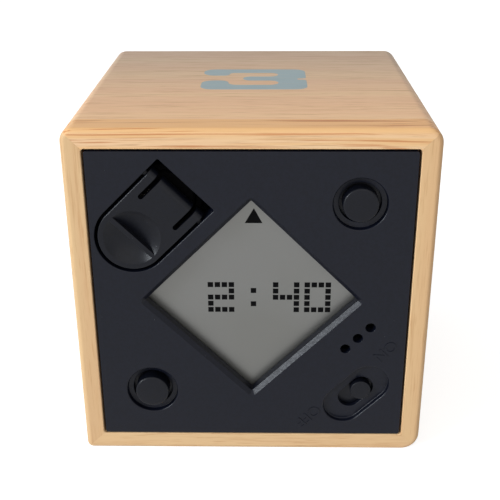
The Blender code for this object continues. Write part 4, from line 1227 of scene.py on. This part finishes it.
@dataclass
class FrontPlate:
    """Black plate of the module with its window, wells, recess, slot, holes and door opening."""

    setting: Setting
    thick: float = 2.0 * MM
    slit: float = 0.4 * MM
    seat: float = 0.25 * MM
    corner: float = 0.5 * MM
    edge: float = 0.15 * MM
    window_half: float = 14.8 * MM
    window_chamfer: float = 0.8 * MM
    window_corner: float = 0.25 * MM
    window_wall: float = 1.43 * MM
    window_wall_corner: float = 0.3 * MM
    well_radius: float = 5.1 * MM
    well_depth: float = 1.2 * MM
    well_rounding: float = 0.35 * MM
    well_fillet: float = 0.15 * MM
    well_lip: float = 0.12 * MM
    hole_radius: float = 4.0 * MM
    recess_length: float = 15.2 * MM
    recess_width: float = 8.15 * MM
    recess_depth: float = 1.1 * MM
    recess_rounding: float = 0.35 * MM
    recess_fillet: float = 0.2 * MM
    slot_length: float = 8.0 * MM
    slot_width: float = 4.6 * MM
    slot_lip: float = 0.1 * MM
    switch_row: float = -30.1 * MM
    sound_count: int = 3
    sound_radius: float = 1.0 * MM
    sound_pitch: float = 3.4 * MM
    sound_start: float = 5.8 * MM
    sound_row: float = -20.7 * MM
    sound_rim: float = 0.12 * MM
    collar_wall: float = 0.8 * MM
    collar_depth: float = 2.3 * MM
    door_flare: float = 0.25 * MM
    boss_radius: float = 2.0 * MM
    pilot_radius: float = 1.1 * MM
    pilot_bite: float = 0.1 * MM
    pilot_run_out: float = 1.0 * MM

    @property
    def front(self) -> float:
        """Level of the plate's front in the face frame."""
        return self.setting.plate_front

    @property
    def back(self) -> float:
        """Level of the plate's back in the face frame."""
        return self.front - self.thick

    @property
    def middle(self) -> float:
        """Level halfway through the plate in the face frame."""
        return self.front - self.thick / 2

    def turn(self, x: float = 0.0, y: float = 0.0) -> Matrix:
        """Give the matrix of a place on the diagonal, as seen in the face frame."""
        return EIGHTH @ shift(x, y)

    def plate(self) -> bpy.types.Mesh:
        """Make the bare plate in the face frame, a little nearer the bottom board that it stands on.

        Returns:
            The plate.
        """
        half = self.setting.cube / 2 - self.setting.board - self.slit
        outline = Bar(-half, half, half + self.seat / 2, self.corner, self.corner, 6)
        solid = outline.solid(rounded(self.back, self.front, self.edge))
        return mesh_from(solid, "plate", shift(0, -self.seat / 2))

    def window(self) -> bpy.types.Mesh:
        """Make the cutter of the window, whose rim is chamfered.

        Returns:
            The cutter.
        """
        outline = Bar.square(self.window_half, self.window_corner, 3)
        levels = [
            (self.setting.polariser_front, 0),
            (self.front - self.window_chamfer, 0),
            (self.front + OVER, self.window_chamfer + OVER),
        ]
        return mesh_from(outline.solid(levels), "window", self.turn())

    def window_collar(self) -> bpy.types.Mesh:
        """Make the block round the window behind the plate, before the window is cut.

        Returns:
            The block.
        """
        outline = Bar.square(self.window_half + self.window_wall, self.window_wall_corner, 3)
        levels = [(self.setting.polariser_front + OVER, 0), (self.middle, 0)]
        return mesh_from(outline.solid(levels), "window_collar", self.turn())

    def well(self, place: Vector) -> bpy.types.Mesh:
        """Make the cutter of a button's well and of the hole in its floor.

        Args:
            place: Middle of the well in the diagonal frame.

        Returns:
            The cutter.
        """
        floor = self.front - self.well_depth
        under = self.back - OVER
        reach = self.well_radius + self.well_rounding
        inner = self.well_radius - self.well_fillet
        profile = [
            (0, OVER), (reach, OVER),
            *arc(reach, self.front - self.well_rounding, self.well_rounding, 90, 180, 6),
            *arc(inner, floor + self.well_fillet, self.well_fillet, 0, -90, 3),
            *arc(self.hole_radius + self.well_lip, floor - self.well_lip, self.well_lip, 90, 180, 3),
            (self.hole_radius, under), (0, under),
        ]
        return mesh_from(turned(profile), "well", self.turn(place.x, place.y))

    def switch_recess(self) -> bpy.types.Mesh:
        """Make the cutter of the switch's recess.

        Returns:
            The cutter.
        """
        floor = self.front - self.recess_depth
        radius = self.recess_width / 2
        reach = radius + self.recess_rounding
        profile = [
            (0, OVER), (reach, OVER),
            *arc(reach, self.front - self.recess_rounding, self.recess_rounding, 90, 180, 5),
            *arc(radius - self.recess_fillet, floor + self.recess_fillet, self.recess_fillet, 0, -90, 3),
            (0, floor),
        ]
        bm = pulled(turned(profile), self.recess_length - self.recess_width)
        return mesh_from(bm, "recess", self.turn(0, self.switch_row))

    def switch_slot(self) -> bpy.types.Mesh:
        """Make the cutter of the slot in the recess.

        Returns:
            The cutter.
        """
        floor = self.front - self.recess_depth
        radius = self.slot_width / 2
        reach = radius + self.slot_lip
        profile = [
            (0, floor + OVER), (reach, floor + OVER),
            *arc(reach, floor - self.slot_lip, self.slot_lip, 90, 180, 3),
            (radius, self.back - OVER), (0, self.back - OVER),
        ]
        bm = pulled(turned(profile), self.slot_length - self.slot_width)
        return mesh_from(bm, "slot", self.turn(0, self.switch_row))

    def sound_hole(self, number: int) -> bpy.types.Mesh:
        """Make the cutter of a sound hole.

        Args:
            number: Number of the hole, from 0 at the lower end of the row.

        Returns:
            The cutter.
        """
        reach = self.sound_radius + self.sound_rim
        profile = [
            (0, OVER), (reach, OVER), *arc(reach, self.front - self.sound_rim, self.sound_rim, 90, 180, 4),
            (self.sound_radius, self.back - OVER), (0, self.back - OVER),
        ]
        place = self.turn(self.sound_start + number * self.sound_pitch, self.sound_row)
        return mesh_from(turned(profile, TURN_STEPS // 2), "sound_hole", place)

    def boss(self, node: str, far: float) -> list[Step]:
        """List the Booleans that make a screw's boss and its pilot hole.

        Args:
            node: The screw.
            far: Level of the boss's end in the face frame.

        Returns:
            The steps, for carved().
        """
        place = self.setting.place(node)
        spot = self.turn(place.x, place.y)
        post = cylinder(self.boss_radius, self.middle, far, 32)
        pilot = cylinder(self.pilot_radius, self.back + self.pilot_bite, far - self.pilot_run_out, 24)
        return [
            (Operation.JOIN, mesh_from(post, "boss", spot)),
            (Operation.CUT, mesh_from(pilot, "pilot", spot)),
        ]

    def steps(self, door: "BatteryDoor") -> list[Step]:
        """List the Booleans that make the plate.

        Args:
            door: The door that the plate has its opening for.

        Returns:
            The steps, for carved().
        """
        low = self.back - self.collar_depth
        collar = door.opening.solid([(low, self.collar_wall), (self.middle, self.collar_wall)])
        hole = door.opening.solid(flared(low - OVER, self.front, self.door_flare))
        axis = self.turn(0, door.axis_row)
        bosses = [step for node, far in door.bosses().items() for step in self.boss(node, far)]
        cutters = [
            mesh_from(hole, "door_hole", axis),
            door.pin_holes(self.turn()),
            self.window(),
            *(self.well(self.setting.place(node)) for node in ("clear_button", "set_button")),
            self.switch_recess(),
            self.switch_slot(),
            *(self.sound_hole(number) for number in range(self.sound_count)),
        ]
        return [
            (Operation.JOIN, mesh_from(collar, "collar", axis)),
            (Operation.JOIN, self.window_collar()),
            *bosses,
            *((Operation.CUT, cutter) for cutter in cutters),
        ]

    def build(self, door: "BatteryDoor", material: bpy.types.Material) -> None:
        """Build and dress the plate.

        Args:
            door: The door that the plate has its opening for.
            material: The plate's finish.
        """
        mesh = carved("front_plate_shaped", self.plate(), self.steps(door))
        mesh.transform(self.setting.face)
        show("front_plate_shaped", mesh, material, "case", ["front_plate"])


@dataclass
class BatteryDoor:
    """Battery door with its hinge barrel, tongue, thumb dimple with a fin, and ribs.

    The door is modelled about its hinge, with x out of the barrel's side and z out of the front.
    """

    setting: Setting
    half_width: float = 6.6 * MM
    gap: float = 0.55 * MM
    thick: float = 1.5 * MM
    rounding: float = 0.3 * MM
    barrel: float = 1.8 * MM
    barrel_sweep: Span = (86, -171)
    arc_shift: float = 10.98 * MM
    opening_length: float = 22.2 * MM
    square_corner: float = 0.3 * MM
    pin_radius: float = 0.7 * MM
    pin_reach: float = 0.5 * MM
    pin_room: float = 0.3 * MM
    pin_end_room: float = 0.6 * MM
    tongue_half: float = 3.9 * MM
    slot_width: float = 1.0 * MM
    tongue_length: float = 5.9 * MM
    dimple_radius: float = 5.5 * MM
    dimple_depth: float = 1.8 * MM
    dimple_wall: float = 0.9 * MM
    fin_thick: float = 1.0 * MM
    fin_corner: float = 0.05 * MM
    fin_rounding: float = 0.2 * MM
    rib_thick: float = 1.0 * MM
    rib_depth: float = 2.3 * MM
    rib_inset: float = 0.9 * MM
    boss_gap: float = 0.3 * MM
    case_level: float = 4.3 * MM

    @property
    def hinge(self) -> Vector:
        """Place of the hinge's axis in the diagonal frame."""
        return self.setting.diagonal.inverted() @ self.setting.door_axis

    @property
    def axis_row(self) -> float:
        """Row of the door's long axis in the diagonal frame."""
        return self.hinge.y

    @property
    def opening(self) -> Bar:
        """Outline of the opening, about the door's long axis in the diagonal frame.

        Returns:
            The outline.
        """
        half = self.half_width + self.gap
        far = self.hinge.x - self.arc_shift - half
        return Bar(far, far + self.opening_length, half, half, self.square_corner, 32)

    @property
    def under(self) -> float:
        """Level of the panel's back about the hinge."""
        return self.barrel - self.thick

    @property
    def sphere(self) -> float:
        """Radius of the sphere that the dimple is part of."""
        return (self.dimple_radius**2 + self.dimple_depth**2) / (2 * self.dimple_depth)

    def bosses(self) -> dict[str, float]:
        """Give the screws that the plate has bosses for, with the level of each boss's end.

        Returns:
            The levels in the face frame, by screw.
        """
        board_end = self.setting.board_front + self.boss_gap
        case_end = self.setting.plate_front - self.case_level
        return {
            **dict.fromkeys(numbered("board_screw", 4), board_end),
            **dict.fromkeys(numbered("case_screw", 2), case_end),
        }

    def pin_holes(self, turn: Matrix) -> bpy.types.Mesh:
        """Make the cutter of the holes that the hinge's pins turn in.

        Args:
            turn: Matrix from the diagonal frame to the face frame.

        Returns:
            The cutter, in the face frame.
        """
        reach = self.half_width + self.gap + self.pin_reach + self.pin_end_room
        bm = cylinder(self.pin_radius + self.pin_room, -reach, reach, 32)
        across = Matrix.Rotation(QUARTER_TURN, 4, "X")
        return mesh_from(bm, "pin_holes", turn @ Matrix.Translation(self.hinge) @ across)

    def panel(self) -> bpy.types.Mesh:
        """Make the panel and the barrel, extruded across the door.

        Returns:
            The panel, longer and wider than the door.
        """
        span = self.half_width + self.gap
        far = -self.arc_shift - span
        above = 2 * self.barrel
        knuckle = arc(0, 0, self.barrel, *self.barrel_sweep, 48)
        low = (knuckle[-1][0], self.under)
        outline = [(far, self.under), low, *reversed(knuckle), (knuckle[0][0], above), (far, above)]
        bm = bmesh.new()
        bm.faces.new([bm.verts.new((x, -span, z)) for x, z in outline])
        return mesh_from(extruded(bm, (0, 2 * span, 0)), "panel")

    def outline(self) -> bpy.types.Mesh:
        """Make the block of the door's outline with a rounded upper edge.

        Returns:
            The block.
        """
        far = -self.arc_shift - self.half_width
        bar = Bar(far, self.barrel + OVER, self.half_width, self.half_width, self.square_corner, 32)
        return mesh_from(bar.solid(rounded(-2 * self.barrel, self.barrel, self.rounding)), "outline")

    def cup(self) -> bpy.types.Mesh:
        """Make the wall under the thumb dimple.

        Returns:
            The wall.
        """
        centre = self.barrel - self.dimple_depth + self.sphere
        outer = self.sphere + self.dimple_wall
        angle = math.degrees(math.acos((centre - self.under - OVER) / outer))
        curve = arc(0, centre, outer, angle - 90, -90, 16)
        top = self.under + 2 * OVER
        bm = turned([(0, top), (curve[0][0], top), *curve])
        return mesh_from(bm, "cup", shift(-self.arc_shift, 0))

    def dimple(self) -> bpy.types.Mesh:
        """Make the cutter of the dimple, without the fin across its middle.

        Returns:
            The cutter.
        """
        centre = self.barrel - self.dimple_depth + self.sphere
        half_angle = math.degrees(math.asin(self.dimple_radius / self.sphere))
        curve = arc(0, centre, self.sphere, half_angle - 90, -90, 24)
        top = self.barrel + OVER
        bowl = mesh_from(turned([(0, top), (self.dimple_radius, top), *curve]), "bowl")
        reach = self.dimple_radius + self.fin_thick
        half = self.fin_thick / 2
        outline = Bar(-half, half, reach, self.fin_corner, self.fin_corner, 2)
        fin = mesh_from(outline.solid(rounded(-reach, self.barrel, self.fin_rounding)), "fin")
        mesh = carved("dimple", bowl, [(Operation.CUT, fin)])
        mesh.transform(shift(-self.arc_shift, 0))
        return mesh

    def rib(self, side: int) -> bpy.types.Mesh:
        """Make one of the two ribs behind the panel.

        Args:
            side: -1 or 1, for the two sides of the door.

        Returns:
            The rib.
        """
        start = -self.arc_shift - (self.dimple_radius + self.dimple_wall / 2) / 2
        row = side * (self.half_width - self.rib_inset - self.rib_thick / 2)
        low = (start, row - self.rib_thick / 2, self.under - self.rib_depth)
        high = (-self.barrel - OVER, row + self.rib_thick / 2, self.under + OVER)
        return mesh_from(box(low, high), "rib")

    def tongue_slot(self, side: int) -> bpy.types.Mesh:
        """Make the cutter of one of the two slots beside the tongue.

        Args:
            side: -1 or 1, for the two sides of the door.

        Returns:
            The cutter.
        """
        radius = self.slot_width / 2
        deep = 2 * self.barrel
        bm = pulled(cylinder(radius, deep, -deep), self.tongue_length + deep - self.slot_width)
        place = shift(deep - self.tongue_length / 2, side * (self.tongue_half + radius))
        return mesh_from(bm, "tongue_slot", place)

    def steps(self) -> list[Step]:
        """List the Booleans that make the door.

        Returns:
            The steps, for carved().
        """
        reach = self.half_width + self.gap + self.pin_reach
        pin = cylinder(self.pin_radius, -reach, reach, 32)
        return [
            (Operation.COMMON, self.outline()),
            (Operation.JOIN, mesh_from(pin, "pin", Matrix.Rotation(QUARTER_TURN, 4, "X"))),
            (Operation.JOIN, self.cup()),
            *((Operation.JOIN, self.rib(side)) for side in (-1, 1)),
            (Operation.CUT, self.dimple()),
            *((Operation.CUT, self.tongue_slot(side)) for side in (-1, 1)),
        ]

    def build(self, material: bpy.types.Material) -> None:
        """Build and dress the door.

        Args:
            material: The door's finish.
        """
        mesh = carved("battery_door_shaped", self.panel(), self.steps())
        mesh.transform(self.setting.diagonal @ Matrix.Translation(self.hinge))
        show("battery_door_shaped", mesh, material, "door", ["battery_door"])


@dataclass
class Display:
    """Square display on its corner: grey film with dots and a pointer.

    The left ends of the digits, the colon and the pointer are in millimetres in the face frame.
    """

    setting: Setting
    dot: float = 1.08 * MM
    pitch: float = 1.385 * MM
    layer: float = 0.02 * MM
    digits: tuple[tuple[float, tuple[str, ...]], ...] = (
        (-8.2, ("####", "...#", "####", "#...", "####")),
        (4.73, ("#..#", "#..#", "####", "...#", "...#")),
        (10.98, ("####", "#..#", "#..#", "#..#", "####")),
    )
    top_row: float = 2.21 * MM
    colon: tuple[Span, ...] = ((0.33, 0.93), (0.33, -2.02))
    pointer: tuple[Span, ...] = ((0.45, 18.45), (-1.3, 15.39), (2.1, 15.39))

    def dots(self) -> bmesh.types.BMesh:
        """Draw the dots of the digits and the colon as thin squares.

        Returns:
            The dots.
        """
        places = [(x * MM, y * MM) for x, y in self.colon]
        for left, rows in self.digits:
            for row, cells in enumerate(rows):
                places += [
                    (left * MM + column * self.pitch, self.top_row - row * self.pitch)
                    for column, cell in enumerate(cells) if cell == "#"
                ]
        bm = bmesh.new()
        level = self.setting.polariser_front + self.layer / 2
        for place in places:
            made = bmesh.ops.create_cube(bm, size=1.0)["verts"]
            bmesh.ops.scale(bm, vec=(self.dot, self.dot, self.layer), verts=made)
            bmesh.ops.translate(bm, vec=(*place, level), verts=made)
        return bm

    def arrow(self) -> bmesh.types.BMesh:
        """Draw the pointer to the number on top.

        Returns:
            The pointer.
        """
        bm = bmesh.new()
        level = self.setting.polariser_front
        bm.faces.new([bm.verts.new((x * MM, y * MM, level)) for x, y in self.pointer])
        return extruded(bm, (0, 0, self.layer))

    def build(self) -> None:
        """Build the marks and dress the film."""
        dress(DisplayFilm().make(), ["display_polariser"])
        marks = Plastic("display_marks", srgb(9, 9, 11), srgb(13, 13, 13), 0.4, 0.03, 0.3 * MM).make()
        for name, bm in (("display_dots", self.dots()), ("display_pointer", self.arrow())):
            show(name, mesh_from(bm, name, self.setting.face), marks, "case")


@dataclass
class PushButtons:
    """Two round push buttons, whose caps stand a little out of the plate."""

    setting: Setting
    radius: float = 3.4 * MM
    rounding: float = 0.45 * MM
    flange: float = 0.8 * MM
    flange_radius: float = 4.6 * MM
    stem_radius: float = 2.6 * MM
    stem_length: float = 1.2 * MM

    def cap(self, node: str) -> bpy.types.Mesh:
        """Make the cap of a button.

        Args:
            node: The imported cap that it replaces.

        Returns:
            The cap's mesh, in place.
        """
        top = self.setting.top(node)
        under = self.setting.under_plate
        shelf = under - self.flange
        end = shelf - self.stem_length
        profile = [
            (0, top), *arc(self.radius - self.rounding, top - self.rounding, self.rounding, 90, 0, 6),
            (self.radius, under), (self.flange_radius, under), (self.flange_radius, shelf),
            (self.stem_radius, shelf), (self.stem_radius, end), (0, end),
        ]
        place = self.setting.place(node)
        return mesh_from(turned(profile), node, self.setting.diagonal @ shift(place.x, place.y))

    def build(self, material: bpy.types.Material) -> None:
        """Build and dress the caps."""
        for node, body in (("clear_button", "clear_key"), ("set_button", "set_key")):
            show(f"{node}_shaped", self.cap(node), material, body, [node])


@dataclass
class SlideSwitch:
    """Knob of the slide switch with the flange that closes the slot."""

    setting: Setting
    radius: float = 2.1 * MM
    rounding: float = 0.25 * MM
    flange: float = 0.7 * MM
    flange_half_length: float = 5.9 * MM
    flange_half_width: float = 2.9 * MM
    socket: float = 1.65 * MM
    socket_depth: float = 1.7 * MM
    socket_wall: float = 0.6 * MM

    def knob(self) -> bpy.types.Mesh:
        """Make the knob, its flange and the block that holds the lever.

        Returns:
            The mesh, in place.
        """
        top = self.setting.top("switch_knob")
        under = self.setting.under_plate
        floor = under - self.flange
        middle = floor + self.flange / 2
        profile = [
            (0, top), *arc(self.radius - self.rounding, top - self.rounding, self.rounding, 90, 0, 5),
            (self.radius, middle), (0, middle),
        ]
        half = self.flange_half_width
        flange = Bar(-self.flange_half_length, self.flange_half_length, half, half, half, 16)
        outer, inner = self.socket, self.socket - self.socket_wall
        block = box((-outer, -outer, floor - self.socket_depth), (outer, outer, floor + OVER))
        hole = box((-inner, -inner, floor - 2 * self.socket_depth), (inner, inner, floor - OVER))
        mesh = carved("switch_knob_shaped", mesh_from(turned(profile), "knob"), [
            (Operation.JOIN, mesh_from(flange.solid([(floor, 0), (under, 0)]), "flange")),
            (Operation.JOIN, mesh_from(block, "block")),
            (Operation.CUT, mesh_from(hole, "hole")),
        ])
        place = self.setting.place("switch_knob")
        mesh.transform(self.setting.diagonal @ shift(place.x, place.y))
        return mesh

    def build(self, material: bpy.types.Material) -> None:
        """Build and dress the knob."""
        show("switch_knob_shaped", self.knob(), material, "slide_switch", ["switch_knob"])


@dataclass
class SwitchWords:
    """Low raised words at the two ends of the switch, which read down the diagonal."""

    setting: Setting
    words: tuple[tuple[str, float, float], ...] = (("ON", 11.1, -26.7), ("OFF", -10.6, -27.0))
    size: float = 3.3 * MM
    bold: float = 0.04 * MM
    relief: float = 0.1 * MM
    sunk: float = 0.03 * MM

    def word(self, text: str, x: float, y: float) -> bpy.types.Mesh:
        """Make a word with softened edges, in place on the plate.

        Args:
            text: The word.
            x: Place of its middle on the diagonal, in millimetres.
            y: Place of its middle across the diagonal, in millimetres.

        Returns:
            The word's mesh.
        """
        curve = bpy.data.curves.new(text, "FONT")
        curve.body = text
        curve.size = self.size
        curve.align_x = "CENTER"
        curve.align_y = "CENTER"
        curve.offset = self.bold
        curve.extrude = (self.relief + self.sunk) / 2
        curve.resolution_u = 4
        holder = linked(text, curve)
        drawn = bpy.data.meshes.new_from_object(holder)
        bpy.data.objects.remove(holder)
        bpy.data.curves.remove(curve)
        bm = bmesh.new()
        bm.from_mesh(drawn)
        bpy.data.meshes.remove(drawn)
        level = self.setting.plate_front + (self.relief - self.sunk) / 2
        place = shift(x * MM, y * MM, level) @ Matrix.Rotation(2 * QUARTER_TURN, 4, "Z")
        return mesh_from(bm, text, self.setting.diagonal @ place)

    def build(self, material: bpy.types.Material) -> None:
        """Build and dress the words."""
        for text, x, y in self.words:
            show(f"switch_word_{text.lower()}", self.word(text, x, y), material, "case")


class InnerWorks:
    """Finishes of the pieces inside the box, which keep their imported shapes."""

    def plan(self) -> dict[Finish, list[str]]:
        """Choose the finish of each piece.

        Returns:
            The names of the pieces, by finish.
        """
        return {
            Plastic("grey_plastic_inside", srgb(86, 87, 90), srgb(78, 79, 82), 0.5, 0.4, 0.3 * MM):
                ["display_frame"],
            Plastic("black_plastic_inside", srgb(34, 35, 38), srgb(28, 29, 31), 0.45, 0.4, 0.3 * MM):
                ["buzzer"],
            # Partly real black plastic and partly painted shade: the bay is made nearly black with almost no
            # gloss so that it stands in for the shadow in the door's gaps.
            Plastic("bay_black_as_painted_shade", srgb(6, 6, 7), srgb(9, 9, 9), 0.7, 0.03, 0.3 * MM):
                ["battery_case"],
            Plastic("white_nylon", srgb(222, 220, 212), srgb(212, 209, 198), 0.45, 0.4, 0.4 * MM):
                ["switch_lever", *numbered("tilt_plug", 2)],
            Plastic("grey_rubber", srgb(148, 150, 152), srgb(138, 140, 143), 0.6, 0.3, 0.3 * MM):
                ["clear_plunger", "clear_skirt", "set_plunger", "set_skirt", *numbered("contact_strip", 2)],
            Plastic("black_epoxy", srgb(24, 24, 25), srgb(32, 32, 32), 0.3, 0.5, 0.8 * MM, 0.02 * MM):
                ["controller_chip", *numbered("resistor", 3)],
            # Partly a real black board and partly painted shade: darkened from green so that it reads as the
            # shadow seen through the door's slots.
            Plastic("laminate_black_as_painted_shade", srgb(12, 13, 13), srgb(16, 17, 16), 0.5, 0.1, 0.5 * MM):
                ["circuit_board"],
            # Partly real black sleeves and partly painted shade: darkened so that the cells' ends read as the
            # shadow in the gap by the hinge.
            Plastic("cell_sleeve", srgb(8, 8, 9), srgb(11, 11, 12), 0.6, 0.05, 0.5 * MM):
                numbered("battery_cell", 2),
            Plastic("red_wire_cover", srgb(180, 28, 26), srgb(160, 24, 24), 0.4, 0.5, 0.4 * MM):
                ["red_wire"],
            Plastic("black_wire_cover", srgb(26, 26, 27), srgb(34, 34, 35), 0.4, 0.5, 0.4 * MM):
                ["black_wire"],
            Plastic("display_glass_body", srgb(196, 204, 198), srgb(188, 198, 192), 0.15, 0.5, 1.0 * MM):
                ["display_glass"],
            Metal("zinc_coat", srgb(205, 205, 203), srgb(170, 168, 160), 0.3):
                ["switch_housing", "crystal", *numbered("tilt_can", 2), *numbered("case_screw", 2),
                 *numbered("board_screw", 4)],
            Metal("polished_steel", srgb(220, 220, 220), srgb(196, 196, 196), 0.12):
                numbered("tilt_ball", 2),
            Metal("nickel_coat", srgb(210, 206, 196), srgb(176, 170, 156), 0.25):
                ["battery_spring", "battery_contact", "door_contact", *numbered("solder_tab", 2)],
            Metal("reflector_foil", srgb(200, 200, 194), srgb(186, 186, 180), 0.35):
                ["display_reflector"],
            Metal("brushed_aluminium", srgb(226, 226, 226), srgb(200, 200, 200), 0.35):
                ["capacitor"],
        }

    def build(self) -> None:
        """Dress the pieces."""
        for finish, names in self.plan().items():
            dress(finish.make(), names)


@dataclass(frozen=True)
class Lamp:
    """Square soft lamp that looks at the middle of the box."""

    name: str
    side: Triple
    power: float
    size: float
    colour: Colour
    reach: float = 1.5

    def build(self, target: Triple) -> None:
        """Hang the lamp.

        Args:
            target: The point that it looks at.
        """
        data = bpy.data.lights.new(self.name, "AREA")
        data.size = self.size
        data.energy = self.power
        data.color = self.colour
        away = Vector(self.side).normalized()
        turn = away.to_track_quat("Z", "Y").to_matrix().to_4x4()
        linked(self.name, data).matrix_world = Matrix.Translation(Vector(target) + away * self.reach) @ turn


@dataclass
class Studio:
    """Plain studio: pale floor, soft lights, a white surround and the camera."""

    eye: Triple = (0.002679, -0.188776, 0.114973)
    turn: float = math.radians(1.091)
    tilt: float = math.radians(24.06)
    roll: float = math.radians(-0.29)
    lens: float = 63.8
    sensor: float = 36.0
    near: float = 0.01
    white: Colour = (1.0, 1.0, 1.0)
    floor_size: float = 6.0
    floor_colour: Colour = (0.62, 0.62, 0.62)
    floor_glow: float = 0.76
    key_side: Triple = (-0.79, -0.53, 0.31)
    lean_range: Span = (-0.9, 0.9)
    side_light: Span = (0.07, 0.66)
    target: Triple = (0, 0, 35.0 * MM)

    def camera(self) -> None:
        """Set up the camera as the photograph was taken."""
        data = bpy.data.cameras.new("camera")
        data.lens = self.lens
        data.sensor_width = self.sensor
        data.clip_start = self.near
        camera = linked("camera", data)
        camera.matrix_world = (
            Matrix.Translation(self.eye)
            @ Matrix.Rotation(self.turn, 4, "Z")
            @ Matrix.Rotation(QUARTER_TURN - self.tilt, 4, "X")
            @ Matrix.Rotation(self.roll, 4, "Z")
        )
        bpy.context.scene.camera = camera

    def emptied(self, owner: bpy.types.Material | bpy.types.World) -> Nodes:
        """Empty the node tree of a material or a world.

        Args:
            owner: The material or the world.

        Returns:
            The helper for its tree.
        """
        owner.use_nodes = True
        owner.node_tree.nodes.clear()
        return Nodes(owner.node_tree)

    def seen(self, nodes: Nodes) -> Socket:
        """Give 1 where the surround is seen directly, in a reflection or through glass.

        Args:
            nodes: The helper for the tree.

        Returns:
            The value.
        """
        path = nodes.add("LightPath").outputs
        mirrored = nodes.math("MAXIMUM", path["Is Glossy Ray"], path["Is Transmission Ray"])
        return nodes.math("MAXIMUM", path["Is Camera Ray"], mirrored)

    def floor(self) -> None:
        """Lay the floor, which reads white but for the shadow of the box."""
        bm = bmesh.new()
        bmesh.ops.create_grid(bm, x_segments=1, y_segments=1, size=self.floor_size / 2)
        mesh = bpy.data.meshes.new("floor")
        bm.to_mesh(mesh)
        bm.free()
        material = bpy.data.materials.new("pale_floor")
        nodes = self.emptied(material)
        diffuse = nodes.add("BsdfDiffuse", {"Color": self.floor_colour})
        strength = nodes.math("MULTIPLY", self.seen(nodes), self.floor_glow)
        glow = nodes.add("Emission", {"Color": self.white, "Strength": strength})
        total = nodes.add("AddShader", {0: diffuse.outputs[0], 1: glow.outputs[0]})
        nodes.add("OutputMaterial", {"Surface": total.outputs[0]})
        mesh.materials.append(material)
        linked("floor", mesh)

    def surround(self) -> None:
        """Set the surround, which looks white and throws more light from the left."""
        world = bpy.data.worlds.new("surround")
        bpy.context.scene.world = world
        nodes = self.emptied(world)
        direction = nodes.add("TexCoord").outputs["Generated"]
        lean = nodes.add("VectorMath", {0: direction, 1: self.key_side}, operation="DOT_PRODUCT")
        side = nodes.span(lean.outputs["Value"], *self.lean_range, *self.side_light)
        strength = nodes.add("Mix", {0: self.seen(nodes), 2: side, 3: 1.0}, data_type="FLOAT").outputs[0]
        light = nodes.add("Background", {"Color": self.white, "Strength": strength})
        nodes.add("OutputWorld", {"Surface": light.outputs[0]})

    def build(self) -> None:
        """Build the whole studio."""
        bpy.context.scene.view_settings.view_transform = "Standard"
        self.camera()
        self.floor()
        self.surround()
        Lamp("key_lamp", self.key_side, 17.0, 0.5, (0.88, 0.94, 1.0)).build(self.target)
        Lamp("front_lamp", (0.12, -0.85, 0.5), 4.8, 1.5, (1.0, 0.96, 0.90)).build(self.target)


PLATE_PLASTIC = Plastic(
    "plate_plastic", (0.0036, 0.0048, 0.0112), (0.0026, 0.0034, 0.0080), 0.33, 0.21, dust=0.05
)
KEY_PLASTIC = Plastic(
    "key_plastic", (0.0032, 0.0040, 0.0080), (0.0026, 0.0032, 0.0060), 0.34, 0.20, dust=0.02
)


def main() -> None:
    """Build the sub-assemblies in order."""
    logging.basicConfig(level=logging.INFO, format="%(name)s: %(message)s")
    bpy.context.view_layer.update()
    setting = Setting.read()
    Effects.build()
    Studio().build()
    WoodenBox(setting).build()
    PrintedNumbers(setting).build()
    plate_plastic = PLATE_PLASTIC.make()
    key_plastic = KEY_PLASTIC.make()
    door = BatteryDoor(setting)
    FrontPlate(setting).build(door, plate_plastic)
    door.build(key_plastic)
    Display(setting).build()
    PushButtons(setting).build(key_plastic)
    SlideSwitch(setting).build(key_plastic)
    SwitchWords(setting).build(plate_plastic)
    InnerWorks().build()


if __name__ == "__main__":
    main()
